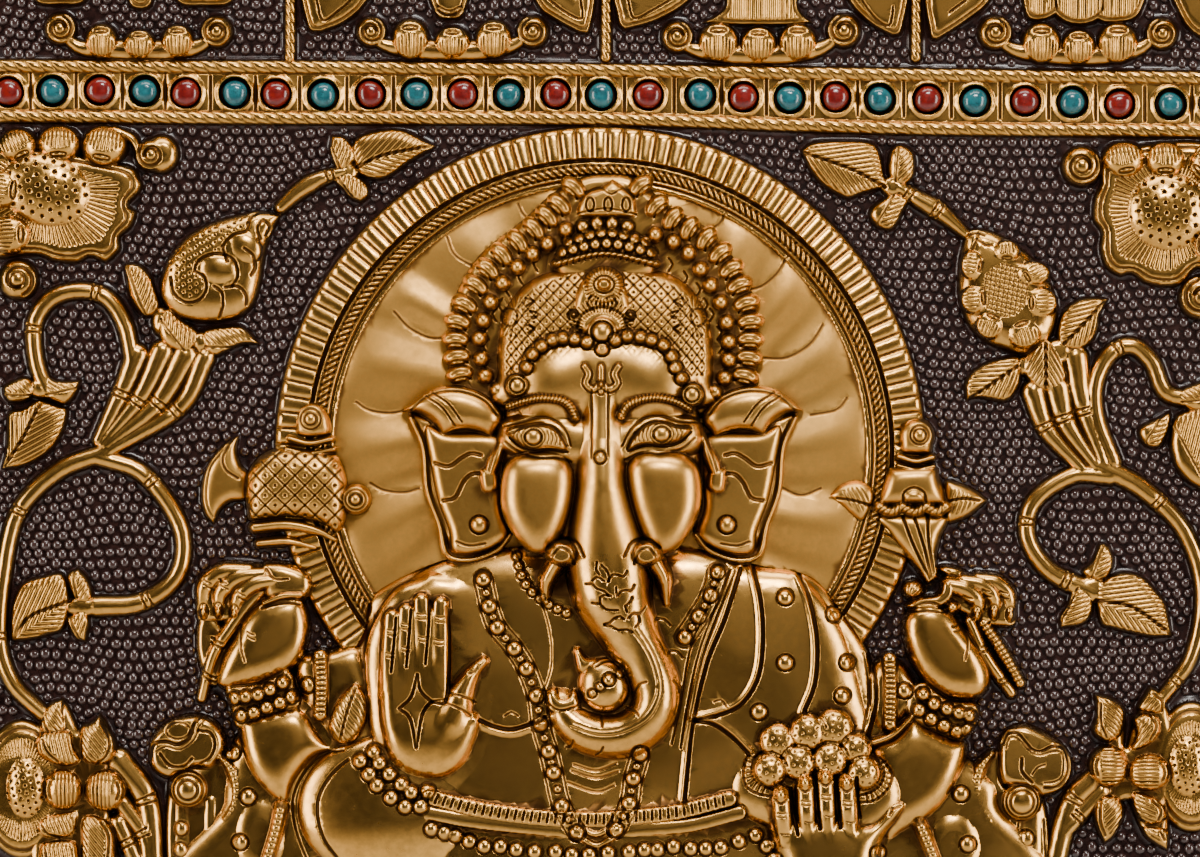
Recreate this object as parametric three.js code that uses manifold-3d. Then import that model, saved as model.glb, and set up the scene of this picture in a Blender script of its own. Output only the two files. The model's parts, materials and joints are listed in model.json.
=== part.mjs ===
// Brass wall plaque: one embossed sheet with a seated elephant-headed figure before a fluted halo,
// vines and flowers on a pebbled ground, and a jewelled band set with round stones.
import * as THREE from 'three';
import { mergeVertices } from 'three/addons/utils/BufferGeometryUtils.js';
import Module from 'manifold-3d';

const wasm = await Module();
wasm.setup();

// Driving dimensions in millimetres. The plaque stands upright with the middle of its back at the
// origin: X runs to the right, Z up, and the relief rises towards the viewer, along -Y.
const WIDTH = 360;
// The design is laid out on a drawing grid, x to the right and y down from the top left corner.
const GRID_WIDTH = 1200;
const GRID_HEIGHT = 857;
const UNIT = WIDTH / GRID_WIDTH;
const HEIGHT = GRID_HEIGHT * UNIT;

// Heights above the back.
const ROOT = 1.5; // how deep inside the sheet each raised form starts
const GROUND = 4;
const BAND = 5.2;
const ROPE = 6.6;
const POST = 6.4;
const HALO_VALLEY = 7.2;
const HALO_FLUTE = 8.6;
const HALO_ROPE = 8.8;
const HALO_DISC = 6.4;
const FRIEZE_PETAL = 8.4;
const CURL = 7.6;
const LEAF = 8;
const VINE = 7.8;
const PETAL = 9.3;
const ROSETTE_BACK = 6.6;
const ROSETTE_DOME = 11.5;
const BUD = 10.2;
const SCARF_STRIP = 7.2;
const SCARF_KNOT = 9;
const SCARF_BOSS = 10.4;
const REAR_HAND = 12.4;
const REAR_FINGER = 10.6;
const ROBE = 9.6;
const TORSO = 14.4;
const BELLY = 15.8;
const CROWN_BACK = 9.4;
const FACE = 22;
const TRIM_HEIGHT = 60; // height of the block that trims the edges, clear of the highest form

// Stones of the jewelled band.
const STONE_GAP = 0.3;
const STONE_WALL = 0.4; // how far a stone's straight wall stands above the band
const STONE_RISE = 2.5;
const STONE_SEAT = 3.2; // bottom of a socket above the back
const STONE_SIDES = 8;
const SOCKET_RADIUS = 16; // drawing units, corner to corner over two
const SOCKET_SIDES = 6;

const place = ([x, y]) => new THREE.Vector2((x - GRID_WIDTH / 2) * UNIT, (GRID_HEIGHT / 2 - y) * UNIT);

// Booleans.
function solid(geometry) {
  geometry.deleteAttribute('normal');
  geometry.deleteAttribute('uv');
  const merged = mergeVertices(geometry, 1e-4);
  return new wasm.Manifold(new wasm.Mesh({
    numProp: 3,
    vertProperties: merged.attributes.position.array,
    triVerts: new Uint32Array(merged.index.array),
  }));
}

function geometryOf(body) {
  const mesh = body.getMesh();
  const geometry = new THREE.BufferGeometry();
  geometry.setAttribute('position', new THREE.BufferAttribute(mesh.vertProperties, 3));
  geometry.setIndex(new THREE.BufferAttribute(mesh.triVerts, 1));
  geometry.computeVertexNormals();
  return geometry;
}

// Rings of a rounded boss, from its edge in: share of the reach, and share of the rise.
const TENT = [[0, 1]];
const SMALL_DOME = [[0.74, 0.76], [0, 1]];
const LARGE_DOME = [[0.86, 0.55], [0.5, 0.9], [0, 1]];

// A rounded boss over an outline: a lathe whose rings are stretched out to the outline's points.
function dome(outline, foot, top, rings = SMALL_DOME) {
  const points = outline.map(place);
  if (THREE.ShapeUtils.isClockWise(points)) points.reverse();
  const middle = new THREE.Box2().setFromPoints(points).getCenter(new THREE.Vector2());
  const rise = top - foot;
  const profile = [[0, ROOT], [1, ROOT], [1, foot]].map(([reach, height]) => new THREE.Vector2(reach, height));
  rings.forEach(([reach, share]) => profile.push(new THREE.Vector2(reach, foot + share * rise)));
  const geometry = new THREE.LatheGeometry(profile, points.length);
  const position = geometry.attributes.position;
  for (let i = 0; i < position.count; i++) {
    const edge = points[Math.floor(i / profile.length) % points.length];
    const { x: reach, y: height } = profile[i % profile.length];
    const spot = middle.clone().lerp(edge, reach);
    position.setXYZ(i, spot.x, spot.y, height);
  }
  return solid(geometry);
}

function ovalOutline(x, y, rx, ry, sides) {
  return new THREE.EllipseCurve(x, y, rx, ry).getPoints(sides).slice(0, sides).map((p) => [p.x, p.y]);
}

const oval = (x, y, rx, ry, foot, top, sides = 6, rings = SMALL_DOME) =>
  dome(ovalOutline(x, y, rx, ry, sides), foot, top, rings);

// A bead: the upper half of a low sphere.
function bead(x, y, radius, foot, top, sides = 6, rows = 4) {
  const geometry = new THREE.SphereGeometry(1, sides, rows);
  geometry.rotateX(Math.PI / 2);
  geometry.scale(radius * UNIT, radius * UNIT, top - foot);
  const spot = place([x, y]);
  geometry.translate(spot.x, spot.y, foot);
  return solid(geometry);
}

// Sections of a rib: a roof with one ridge, or a hexagon with a flat top.
const ROOF = 4;
const HEXAGON = 6;

// A raised rib along a path: a cylinder bent to the path, its width and crest read off along it.
function rib(path, widths, foot, tops, pace = 45, sides = HEXAGON) {
  const curve = new THREE.SplineCurve(path.map(place));
  const along = (values, t) => {
    if (!Array.isArray(values)) return values;
    const spot = t * (values.length - 1);
    const first = Math.min(Math.floor(spot), values.length - 2);
    return THREE.MathUtils.lerp(values[first], values[first + 1], spot - first);
  };
  const steps = Math.max(1, Math.round(curve.getLength() / (pace * UNIT)));
  const flatOnTop = sides === ROOF ? 0 : Math.PI / sides;
  const geometry = new THREE.CylinderGeometry(1, 1, 1, sides, steps, false, flatOnTop);
  const position = geometry.attributes.position;
  for (let i = 0; i < position.count; i++) {
    const t = THREE.MathUtils.clamp(0.5 - position.getY(i), 0, 1);
    const spot = curve.getPointAt(t);
    const ahead = curve.getTangentAt(t);
    const side = position.getX(i) * along(widths, t) * UNIT / 2;
    const height = foot + position.getZ(i) * (along(tops, t) - foot);
    position.setXYZ(i, spot.x - ahead.y * side, spot.y + ahead.x * side, height);
  }
  return solid(geometry);
}

const join = (bodies) => wasm.Manifold.union(bodies);

// The sheet itself, before anything is raised.
function ground() {
  const geometry = new THREE.BoxGeometry(WIDTH, HEIGHT, GROUND);
  return solid(geometry.translate(0, 0, GROUND / 2));
}

// The jewelled band between two ropes, which fall a little towards the right.
const ROPE_ABOVE = [[-20, 67], [300, 68], [600, 71], [900, 75.5], [1220, 79]];
const ROPE_BELOW = [[-20, 117], [300, 119], [600, 120], [900, 129], [1220, 132]];
const BAND_EDGE = [[-20, 70], [600, 73], [1220, 82], [1220, 128], [900, 124], [600, 115], [-20, 112]];

function jewelBand() {
  const shape = new THREE.Shape(BAND_EDGE.map(place));
  const strip = new THREE.ExtrudeGeometry(shape, { depth: BAND - ROOT, bevelEnabled: false });
  return [
    solid(strip.translate(0, 0, ROOT)),
    rib(ROPE_ABOVE, 15, GROUND, ROPE, 130),
    rib(ROPE_BELOW, 15, GROUND, ROPE, 130),
  ];
}

// Middle of each stone, from the left; coral first, then turquoise, and so on in turn.
const STONES = [
  [10, 93], [54, 92], [101, 91], [146, 92], [187, 94], [236, 94], [277, 95], [324, 96], [371, 95],
  [417, 95], [463, 95], [509, 96], [556, 95], [601, 96], [648, 96], [700, 96], [743, 98], [789, 99],
  [835, 98], [879, 100], [927, 100], [974, 102], [1024, 102], [1071, 103], [1118, 105], [1169, 105],
];
const CUT_SOCKET = [1211, 104]; // the next socket, cut off by the right edge
const STONE_KINDS = [
  { name: 'coral', radius: 13, colour: 0xb02525, roughness: 0.25 },
  { name: 'turquoise', radius: 12, colour: 0x2b9c9c, roughness: 0.3 },
];

function socket([x, y]) {
  const radius = SOCKET_RADIUS * UNIT;
  const geometry = new THREE.CylinderGeometry(radius, radius, TRIM_HEIGHT, SOCKET_SIDES);
  geometry.rotateX(Math.PI / 2);
  const spot = place([x, y]);
  return solid(geometry.translate(spot.x, spot.y, STONE_SEAT + TRIM_HEIGHT / 2));
}

// A domed stone with a flat back that sits in its socket.
function stone([x, y], radius) {
  const seat = STONE_SEAT + STONE_GAP;
  const shoulder = { reach: 0.72, share: 0.75 };
  const profile = [
    [0, seat], [1, seat], [1, BAND + STONE_WALL],
    [shoulder.reach, BAND + shoulder.share * STONE_RISE], [0, BAND + STONE_RISE],
  ].map(([reach, height]) => new THREE.Vector2(reach * radius, height));
  const geometry = new THREE.LatheGeometry(profile, STONE_SIDES);
  geometry.rotateX(Math.PI / 2);
  const spot = place([x, y]);
  return solid(geometry.translate(spot.x, spot.y, 0));
}

// The strip of lotus feet above the band, cut off by the sheet's top edge.
function frieze() {
  const posts = [291, 606, 915].map((x) => rib([[x, -10], [x, 58]], 12, GROUND, POST, 80));
  const petals = [
    [103, 42, 15, 18], [141, 44, 15, 15], [180, 41, 17, 16], [411, 40, 17, 20], [453, 43, 17, 15],
    [495, 40, 17, 18], [718, 45, 19, 22], [758, 47, 18, 19], [797, 45, 19, 20], [1040, 44, 19, 20],
    [1077, 47, 17, 18], [1116, 43, 20, 20],
  ].map(([x, y, rx, ry]) => oval(x, y, rx, ry, GROUND, FRIEZE_PETAL));
  const curls = [
    [64, 32, 17], [218, 34, 17], [372, 34, 16], [533, 34, 17], [678, 38, 17], [843, 32, 18],
    [994, 34, 18], [1160, 34, 17],
  ].map(([x, y, radius]) => oval(x, y, radius, radius, GROUND, CURL, 6, TENT));
  const feet = [
    [[30, -20], [90, -20], [88, 5], [60, 8], [38, 5]],
    [[128, -20], [156, -20], [152, 9], [132, 9]],
    [[172, -20], [240, -20], [232, 8], [205, 10], [180, 6]],
    [[303, -25], [370, -25], [362, 8], [345, 26], [322, 34], [308, 30]],
    [[428, -20], [470, -20], [466, 16], [450, 20], [434, 16]],
    [[530, -25], [592, -25], [592, 28], [578, 33], [556, 22], [538, 6]],
    [[620, -25], [690, -25], [680, 4], [655, 24], [624, 28]],
    [[716, -25], [800, -25], [812, 18], [790, 24], [720, 24], [702, 20]],
    [[848, -25], [902, -25], [903, 30], [888, 36], [868, 26], [852, 8]],
    [[926, -25], [990, -25], [986, 6], [962, 26], [934, 42], [927, 34]],
    [[1024, -25], [1136, -25], [1130, 16], [1105, 26], [1050, 26], [1026, 14]],
    [[1168, -25], [1220, -25], [1220, 44], [1196, 38], [1180, 20]],
  ].map((outline) => dome(outline, GROUND, CURL, TENT));
  return [...posts, ...petals, ...curls, ...feet];
}

// The round halo: a rim of flutes, a corded ring and a smooth disc.
const HALO_CENTRE = [600, 452];
const HALO = { rim: 325, ringOuter: 291, ringMiddle: 281, ringInner: 271, discEdge: 266 };
const FLUTES = 124;
const RIM_SIDES = 62; // two flutes to a side
const DISC_SIDES = 31;

function turned(profile, sides) {
  const rings = profile.map(([reach, height]) => new THREE.Vector2(reach * UNIT, height));
  return new THREE.LatheGeometry(rings, sides).rotateX(Math.PI / 2);
}

function halo() {
  // The flutes run out from the middle, crest and valley in turn, so that each side is one flat face.
  const beyond = HALO.rim + 10;
  const middle = (HALO_FLUTE + HALO_VALLEY) / 2;
  const profile = [[0, ROOT], [beyond, ROOT], [beyond, HALO_FLUTE], [0, middle]];
  const flutes = turned(profile, 2 * FLUTES);
  const position = flutes.attributes.position;
  const outerTop = 2;
  for (let i = outerTop + profile.length; i < position.count; i += 2 * profile.length) {
    position.setZ(i, HALO_VALLEY);
  }
  const rim = turned([[0, ROOT], [HALO.rim, ROOT], [HALO.rim, BAND * 2], [0, BAND * 2]], RIM_SIDES);
  const core = turned([[0, 0], [HALO.ringMiddle, 0], [HALO.ringMiddle, BAND * 2], [0, BAND * 2]], DISC_SIDES);
  const disc = turned([
    [0, ROOT], [HALO.ringOuter, ROOT], [HALO.ringOuter, HALO_ROPE], [HALO.ringInner, HALO_ROPE],
    [HALO.discEdge, HALO_DISC], [0, HALO_DISC],
  ], DISC_SIDES);
  const centre = place(HALO_CENTRE);
  const fluted = solid(flutes).intersect(solid(rim)).subtract(solid(core));
  return [fluted, solid(disc)].map((body) => body.translate(centre.x, centre.y, 0));
}

// Vines, buds, leaves and flowers.
function rosettes() {
  const leftBack = [
    [-20, 150], [118, 163], [142, 180], [142, 192], [134, 208], [136, 224], [122, 240], [120, 252],
    [104, 263], [80, 263], [40, 258], [-20, 250],
  ];
  const rightBack = [
    [1220, 150], [1110, 152], [1097, 176], [1090, 206], [1101, 228], [1098, 254], [1112, 274],
    [1136, 278], [1160, 287], [1184, 284], [1198, 270], [1220, 262],
  ];
  const petals = [
    [20, 147, 22, 18], [61, 147, 22, 17], [106, 150, 22, 20], [5, 190, 22, 22], [12, 235, 24, 20],
    [1122, 161, 24, 18], [1168, 161, 24, 18], [1200, 165, 16, 20], [1205, 245, 18, 26],
  ].map(([x, y, rx, ry]) => oval(x, y, rx, ry, GROUND, PETAL));
  const curls = [[160, 157, 20, 20], [21, 281, 21, 20], [1080, 168, 21, 20], [1197, 298, 21, 24]]
    .map(([x, y, rx, ry]) => oval(x, y, rx, ry, GROUND, CURL, 6, TENT));
  return [
    dome(leftBack, GROUND, ROSETTE_BACK),
    dome(rightBack, GROUND, ROSETTE_BACK),
    oval(50, 192, 50, 42, GROUND, ROSETTE_DOME, 10),
    oval(1168, 212, 46, 42, GROUND, ROSETTE_DOME, 10),
    ...petals,
    ...curls,
  ];
}

const LEAVES = [
  // Pairs of leaves and petals at the top, left and right.
  [[355, 165], [352, 150], [360, 138], [382, 131], [412, 132], [437, 146], [410, 165], [380, 181], [362, 180]],
  [[332, 136], [345, 137], [358, 156], [350, 170], [340, 173], [332, 158]],
  [[343, 172], [362, 178], [371, 196], [362, 204], [346, 194], [334, 182]],
  [[800, 151], [818, 143], [845, 141], [872, 146], [884, 162], [888, 186], [866, 196], [842, 198], [818, 182]],
  [[888, 156], [901, 146], [914, 154], [914, 176], [902, 188], [888, 178]],
  [[880, 200], [898, 194], [905, 206], [897, 228], [884, 232], [868, 222], [869, 208]],
  // Leaves under the left bud.
  [[126, 265], [142, 265], [156, 284], [162, 308], [148, 319], [134, 304]],
  [[162, 312], [174, 309], [200, 330], [197, 350], [180, 353], [160, 340]],
  [[205, 330], [228, 325], [250, 328], [262, 345], [240, 347], [218, 357], [205, 350]],
  // Leaves under the right bud.
  [[1034, 345], [1050, 340], [1064, 362], [1064, 384], [1044, 392], [1024, 380], [1020, 360]],
  [[1020, 357], [992, 359], [970, 372], [963, 388], [968, 402], [992, 400], [1012, 396], [1020, 378]],
  [[1107, 299], [1078, 299], [1058, 318], [1056, 342], [1072, 351], [1090, 342], [1099, 318]],
  // Leaf and petals on the left vine.
  [[4, 388], [15, 380], [30, 378], [40, 390], [28, 402], [6, 400]],
  [[46, 378], [64, 379], [83, 382], [76, 400], [58, 404], [44, 394]],
  [[38, 400], [70, 408], [66, 432], [40, 460], [3, 469], [8, 430], [12, 410]],
  // Leaf and petals on the right vine.
  [[1172, 396], [1190, 382], [1220, 376], [1220, 412], [1190, 412]],
  [[1168, 412], [1150, 418], [1136, 430], [1144, 447], [1160, 446], [1170, 428]],
  [[1172, 418], [1168, 450], [1182, 478], [1220, 494], [1220, 410], [1190, 408]],
  // Ends of the lower scrolls.
  [[65, 573], [40, 577], [18, 596], [12, 624], [13, 641], [48, 636], [66, 628], [72, 600]],
  [[70, 576], [82, 567], [94, 582], [100, 602], [80, 604], [68, 592]],
  [[70, 616], [88, 608], [92, 624], [85, 642], [74, 636]],
  [[1096, 592], [1112, 574], [1136, 573], [1160, 598], [1171, 636], [1140, 636], [1104, 624]],
  [[1098, 542], [1111, 552], [1110, 572], [1096, 582], [1080, 572], [1092, 558]],
  [[1072, 590], [1092, 592], [1090, 614], [1076, 626], [1058, 629], [1064, 606]],
];

// Tubes of the vines: the path, and the width along it.
const VINES = [
  // Stems of the top leaves.
  { width: [10, 16, 12], path: [[345, 172], [320, 180], [300, 192], [282, 208]] },
  { width: [12, 17, 10], path: [[898, 188], [918, 200], [940, 213], [964, 234]] },
  // Left: the bundle of stems, the curl over it and the two scrolls below.
  { width: [20, 12], path: [[138, 355], [124, 390], [100, 440]] },
  { width: [20, 12], path: [[163, 352], [142, 396], [104, 444]] },
  { width: [22, 12], path: [[186, 356], [158, 404], [108, 446]] },
  { width: [18, 12], path: [[206, 358], [180, 408], [112, 450]] },
  {
    width: 15,
    path: [[134, 360], [126, 325], [108, 298], [80, 291], [52, 300], [36, 325], [38, 362], [48, 390]],
  },
  {
    width: [16, 15, 15, 14],
    path: [[108, 452], [60, 471], [20, 512], [5, 575], [1, 640], [15, 683], [44, 712]],
  },
  {
    width: [16, 15, 15, 18],
    path: [[98, 456], [146, 475], [182, 528], [178, 575], [142, 602], [98, 606]],
  },
  // Right: the same.
  { width: [20, 12], path: [[1032, 392], [1046, 430], [1080, 468]] },
  { width: [22, 12], path: [[1056, 388], [1066, 425], [1094, 466]] },
  { width: [22, 12], path: [[1074, 358], [1082, 405], [1102, 462]] },
  {
    width: 15,
    path: [
      [1112, 462], [1096, 420], [1094, 385], [1108, 355], [1130, 346], [1150, 362], [1164, 392], [1192, 400],
    ],
  },
  {
    width: [16, 15, 15, 18],
    path: [[1108, 476], [1072, 475], [1034, 500], [1026, 535], [1048, 570], [1092, 592]],
  },
  {
    width: [18, 15, 14, 12],
    path: [[1098, 466], [1140, 488], [1182, 530], [1201, 590], [1190, 655], [1160, 698]],
  },
  // Stems of the two lower flowers.
  { width: [22, 16], path: [[120, 760], [148, 800], [156, 870]] },
  { width: [16, 14], path: [[122, 800], [146, 836], [150, 870]] },
  { width: [16, 14], path: [[120, 822], [142, 870]] },
  { width: [20, 18], path: [[1096, 776], [1070, 804], [1052, 870]] },
  { width: [16, 14], path: [[1100, 790], [1080, 812], [1062, 832]] },
];

// The two lower flowers, as ovals: middle, half widths and top.
const FLOWERS = [
  [30, 788, 36, 66, 7.4], [32, 785, 24, 34, 9.6], [58, 716, 15, 22, 8.6], [62, 748, 22, 27, 9.4],
  [104, 738, 21, 29, 9.4], [65, 788, 21, 23, 10.4], [107, 788, 21, 23, 10.4], [60, 832, 21, 28, 9.4],
  [102, 838, 20, 30, 9.4], [1108, 717, 19, 27, 9.2], [1152, 704, 14, 22, 8.6], [1148, 728, 22, 22, 9.4],
  [1184, 768, 34, 66, 7.4], [1172, 766, 24, 34, 9.6], [1106, 767, 20, 22, 10.4], [1148, 770, 22, 20, 10.4],
  [1108, 817, 16, 26, 9], [1145, 816, 22, 30, 9.2],
];

function foliage() {
  const leftBud = [
    [284, 214], [250, 213], [205, 226], [172, 252], [161, 292], [170, 312], [200, 323], [240, 319],
    [262, 290], [268, 250],
  ];
  const rightBud = [
    [967, 230], [1005, 237], [1043, 270], [1058, 312], [1046, 344], [1018, 356], [984, 344],
    [960, 312], [955, 270],
  ];
  const vinePace = 42;
  return [
    ...LEAVES.map((outline) => dome(outline, GROUND, LEAF, TENT)),
    ...VINES.map(({ path, width }) => rib(path, width, GROUND, VINE, vinePace, ROOF)),
    ...FLOWERS.map(([x, y, rx, ry, top]) => oval(x, y, rx, ry, GROUND, top, 6, top > BUD ? SMALL_DOME : TENT)),
    dome(leftBud, GROUND, BUD),
    dome(rightBud, GROUND, BUD),
  ];
}

// The left rear hand, with the pot behind it and the rod it holds.
function leftRearHand() {
  const crescent = [[237, 436], [247, 470], [245, 505], [216, 526], [201, 500], [202, 460], [218, 442]];
  const back = [[262, 602], [300, 598], [308, 626], [298, 655], [262, 680], [224, 684], [222, 655], [240, 622]];
  const thumb = [[262, 570], [300, 552], [312, 580], [308, 598], [270, 604]];
  const fingers = [[[236, 574], [203, 610]], [[260, 576], [217, 614]], [[284, 582], [233, 616]]];
  const rod = [[290, 575], [268, 592], [236, 628], [215, 660], [203, 694]];
  return [
    dome(crescent, GROUND, LEAF),
    oval(300, 494, 55, 46, GROUND, 13.6, 12),
    rib([[255, 536], [300, 548], [340, 536]], 16, GROUND, 9),
    oval(312, 418, 19, 20, GROUND, 10),
    oval(356, 500, 18, 18, GROUND, 11),
    dome(back, GROUND, REAR_HAND),
    dome(thumb, GROUND, REAR_FINGER),
    ...fingers.map((path) => rib(path, [24, 18], GROUND, REAR_FINGER)),
    rib(rod, [26, 22, 18, 16, 14], GROUND, [11, 11, 10, 8.6, 7]),
  ];
}

// The right rear hand, with the flask over it and the two rods it holds.
function rightRearHand() {
  const leftLeaf = [[828, 494], [850, 479], [872, 486], [872, 510], [858, 521], [842, 510]];
  const rightLeaf = [[944, 482], [968, 484], [987, 500], [966, 518], [944, 521]];
  const back = [[908, 604], [945, 595], [970, 622], [988, 690], [955, 699], [916, 672], [901, 632]];
  const thumb = [[902, 606], [904, 584], [930, 576], [952, 586], [940, 604]];
  const fingers = [[[956, 584], [976, 620]], [[974, 581], [994, 620]], [[992, 582], [1009, 620]]];
  return [
    oval(914, 435, 21, 22, GROUND, 10.6),
    oval(908, 484, 37, 24, GROUND, 12.6, 10),
    rib([[876, 508], [908, 512], [944, 506]], 16, GROUND, 11),
    rib([[909, 505], [914, 545], [928, 582]], [62, 50, 22], GROUND, [10.6, 9.6, 8.6]),
    dome(leftLeaf, GROUND, PETAL),
    dome(rightLeaf, GROUND, PETAL),
    oval(952, 572, 20, 8, GROUND, SCARF_STRIP),
    dome(back, GROUND, REAR_HAND),
    dome(thumb, GROUND, REAR_FINGER),
    ...fingers.map((path) => rib(path, [24, 16], GROUND, REAR_FINGER)),
    rib([[968, 622], [985, 660], [1010, 694]], [16, 14, 12], GROUND, [9, 8.4, 7.4]),
    rib([[990, 622], [1004, 650], [1020, 684]], [16, 16, 14], GROUND, [9, 8.6, 7.8]),
  ];
}

// Knotted scarf ends to the left and right of the seat.
function scarves() {
  const leftKnot = [[148, 745], [158, 722], [200, 713], [226, 730], [224, 758], [200, 778], [162, 770]];
  const rightKnot = [[996, 762], [1004, 730], [1026, 722], [1066, 750], [1068, 776], [1048, 796], [1010, 786]];
  return [
    dome(leftKnot, GROUND, SCARF_KNOT),
    oval(190, 787, 21, 21, GROUND, SCARF_BOSS, 10),
    rib([[184, 800], [184, 880]], 28, GROUND, SCARF_STRIP),
    rib([[214, 800], [212, 880]], 24, GROUND, SCARF_STRIP),
    rib([[221, 752], [240, 785], [222, 825]], [10, 22, 10], GROUND, SCARF_KNOT),
    dome(rightKnot, GROUND, SCARF_KNOT),
    oval(1020, 801, 21, 21, GROUND, SCARF_BOSS, 10),
    rib([[1026, 815], [1026, 880]], 28, GROUND, SCARF_STRIP),
    rib([[1000, 822], [998, 880]], 20, GROUND, SCARF_STRIP),
    rib([[990, 752], [972, 786], [990, 826]], [10, 22, 10], GROUND, SCARF_KNOT),
  ];
}

// Robe, arms, chest and belly.
function body() {
  const robe = [
    [238, 735], [300, 690], [362, 640], [374, 590], [440, 556], [520, 545], [690, 545], [760, 562],
    [812, 572], [864, 640], [880, 700], [940, 745], [1000, 790], [985, 900], [230, 900], [222, 800],
  ];
  const torso = [
    [372, 640], [384, 600], [440, 562], [530, 545], [690, 548], [755, 565], [800, 575], [850, 640],
    [866, 720], [800, 800], [600, 826], [430, 800], [370, 730],
  ];
  const leftForearm = [
    [232, 730], [262, 700], [292, 682], [326, 735], [335, 760], [300, 800], [262, 782], [246, 755],
  ];
  const leftSleeve = [[300, 655], [362, 645], [380, 690], [380, 745], [340, 745], [310, 710], [296, 680]];
  const rightSleeve = [[880, 665], [905, 660], [925, 690], [912, 712], [872, 738], [866, 700]];
  const rightForearm = [
    [868, 742], [912, 700], [970, 712], [976, 740], [956, 790], [924, 822], [884, 838], [864, 800],
  ];
  return [
    dome(robe, GROUND, ROBE),
    dome(torso, GROUND, TORSO),
    oval(615, 862, 205, 100, GROUND, BELLY, 14),
    dome(leftForearm, GROUND, 12.4),
    dome(leftSleeve, GROUND, 10.4),
    oval(388, 800, 84, 62, GROUND, 15.4, 12, LARGE_DOME),
    dome(rightSleeve, GROUND, 10.4),
    dome(rightForearm, GROUND, 13.6),
    oval(952, 840, 36, 40, GROUND, 10.6),
    oval(262, 830, 34, 50, GROUND, 10.4),
  ];
}

// The front hand raised in blessing.
function raisedHand() {
  const palm = [
    [378, 640], [385, 610], [405, 594], [440, 588], [452, 610], [452, 680], [478, 700], [480, 735],
    [458, 772], [430, 779], [400, 762], [380, 720],
  ];
  const fingers = [[389, 670, 615], [401, 660, 602], [425, 660, 592], [443, 670, 594]];
  return [
    dome(palm, 8, 17.4),
    ...fingers.map(([x, base, tip]) => rib([[x, base], [x, tip]], [18, 15], 14, [18.4, 17], 100)),
    rib([[456, 706], [464, 680], [486, 658]], [36, 30, 12], 9, [17, 16.4, 14]),
  ];
}

// The front hand under a bowl of sweets.
function bowlHand() {
  const bowl = [
    [724, 790], [736, 756], [765, 744], [880, 750], [902, 780], [900, 806], [860, 840], [760, 830],
  ];
  const sweets = [
    [776, 738], [805, 727], [831, 726], [853, 746], [770, 766], [797, 757], [826, 755], [862, 768],
  ];
  const palm = [
    [766, 800], [850, 800], [870, 820], [900, 800], [880, 845], [850, 900], [790, 900], [768, 830],
  ];
  const fingers = [[777, 782], [803, 770], [822, 765], [844, 772]];
  return [
    dome(bowl, 8, 16),
    ...sweets.map(([x, y]) => bead(x, y, 18, 14, 19, 5)),
    dome(palm, 10, 18.6),
    ...fingers.map(([x, tip]) => rib([[x + 2, 830], [x, tip]], [19, 16], 16, 20, 100)),
  ];
}

// Crown with its garland, finial and crest.
function crown() {
  const back = [
    [448, 330], [475, 250], [540, 200], [604, 172], [668, 200], [732, 250], [758, 330], [756, 388],
    [700, 420], [508, 420], [452, 388],
  ];
  const garland = [[576, 190], [546, 217], [515, 242], [487, 270], [467, 303], [458, 340], [461, 374]];
  const axis = 604;
  const mirrored = garland.map(([x, y]) => [2 * axis - x, y]);
  const cap = [
    [496, 350], [506, 302], [542, 272], [604, 263], [664, 272], [704, 302], [716, 352], [700, 410],
    [508, 410],
  ];
  const tier = [[552, 264], [572, 232], [606, 218], [640, 232], [664, 264], [640, 290], [580, 290]];
  const finial = [[580, 216], [582, 196], [610, 178], [634, 196], [632, 216]];
  return [
    dome(back, GROUND, CROWN_BACK),
    rib(garland, 26, 6, 11),
    rib(mirrored, 26, 6, 11),
    dome(cap, 7, 19.4),
    dome(tier, 7, 15.4),
    dome(finial, 7, 13.4),
    oval(603, 330, 19, 22, 10, FACE),
  ];
}

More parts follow.
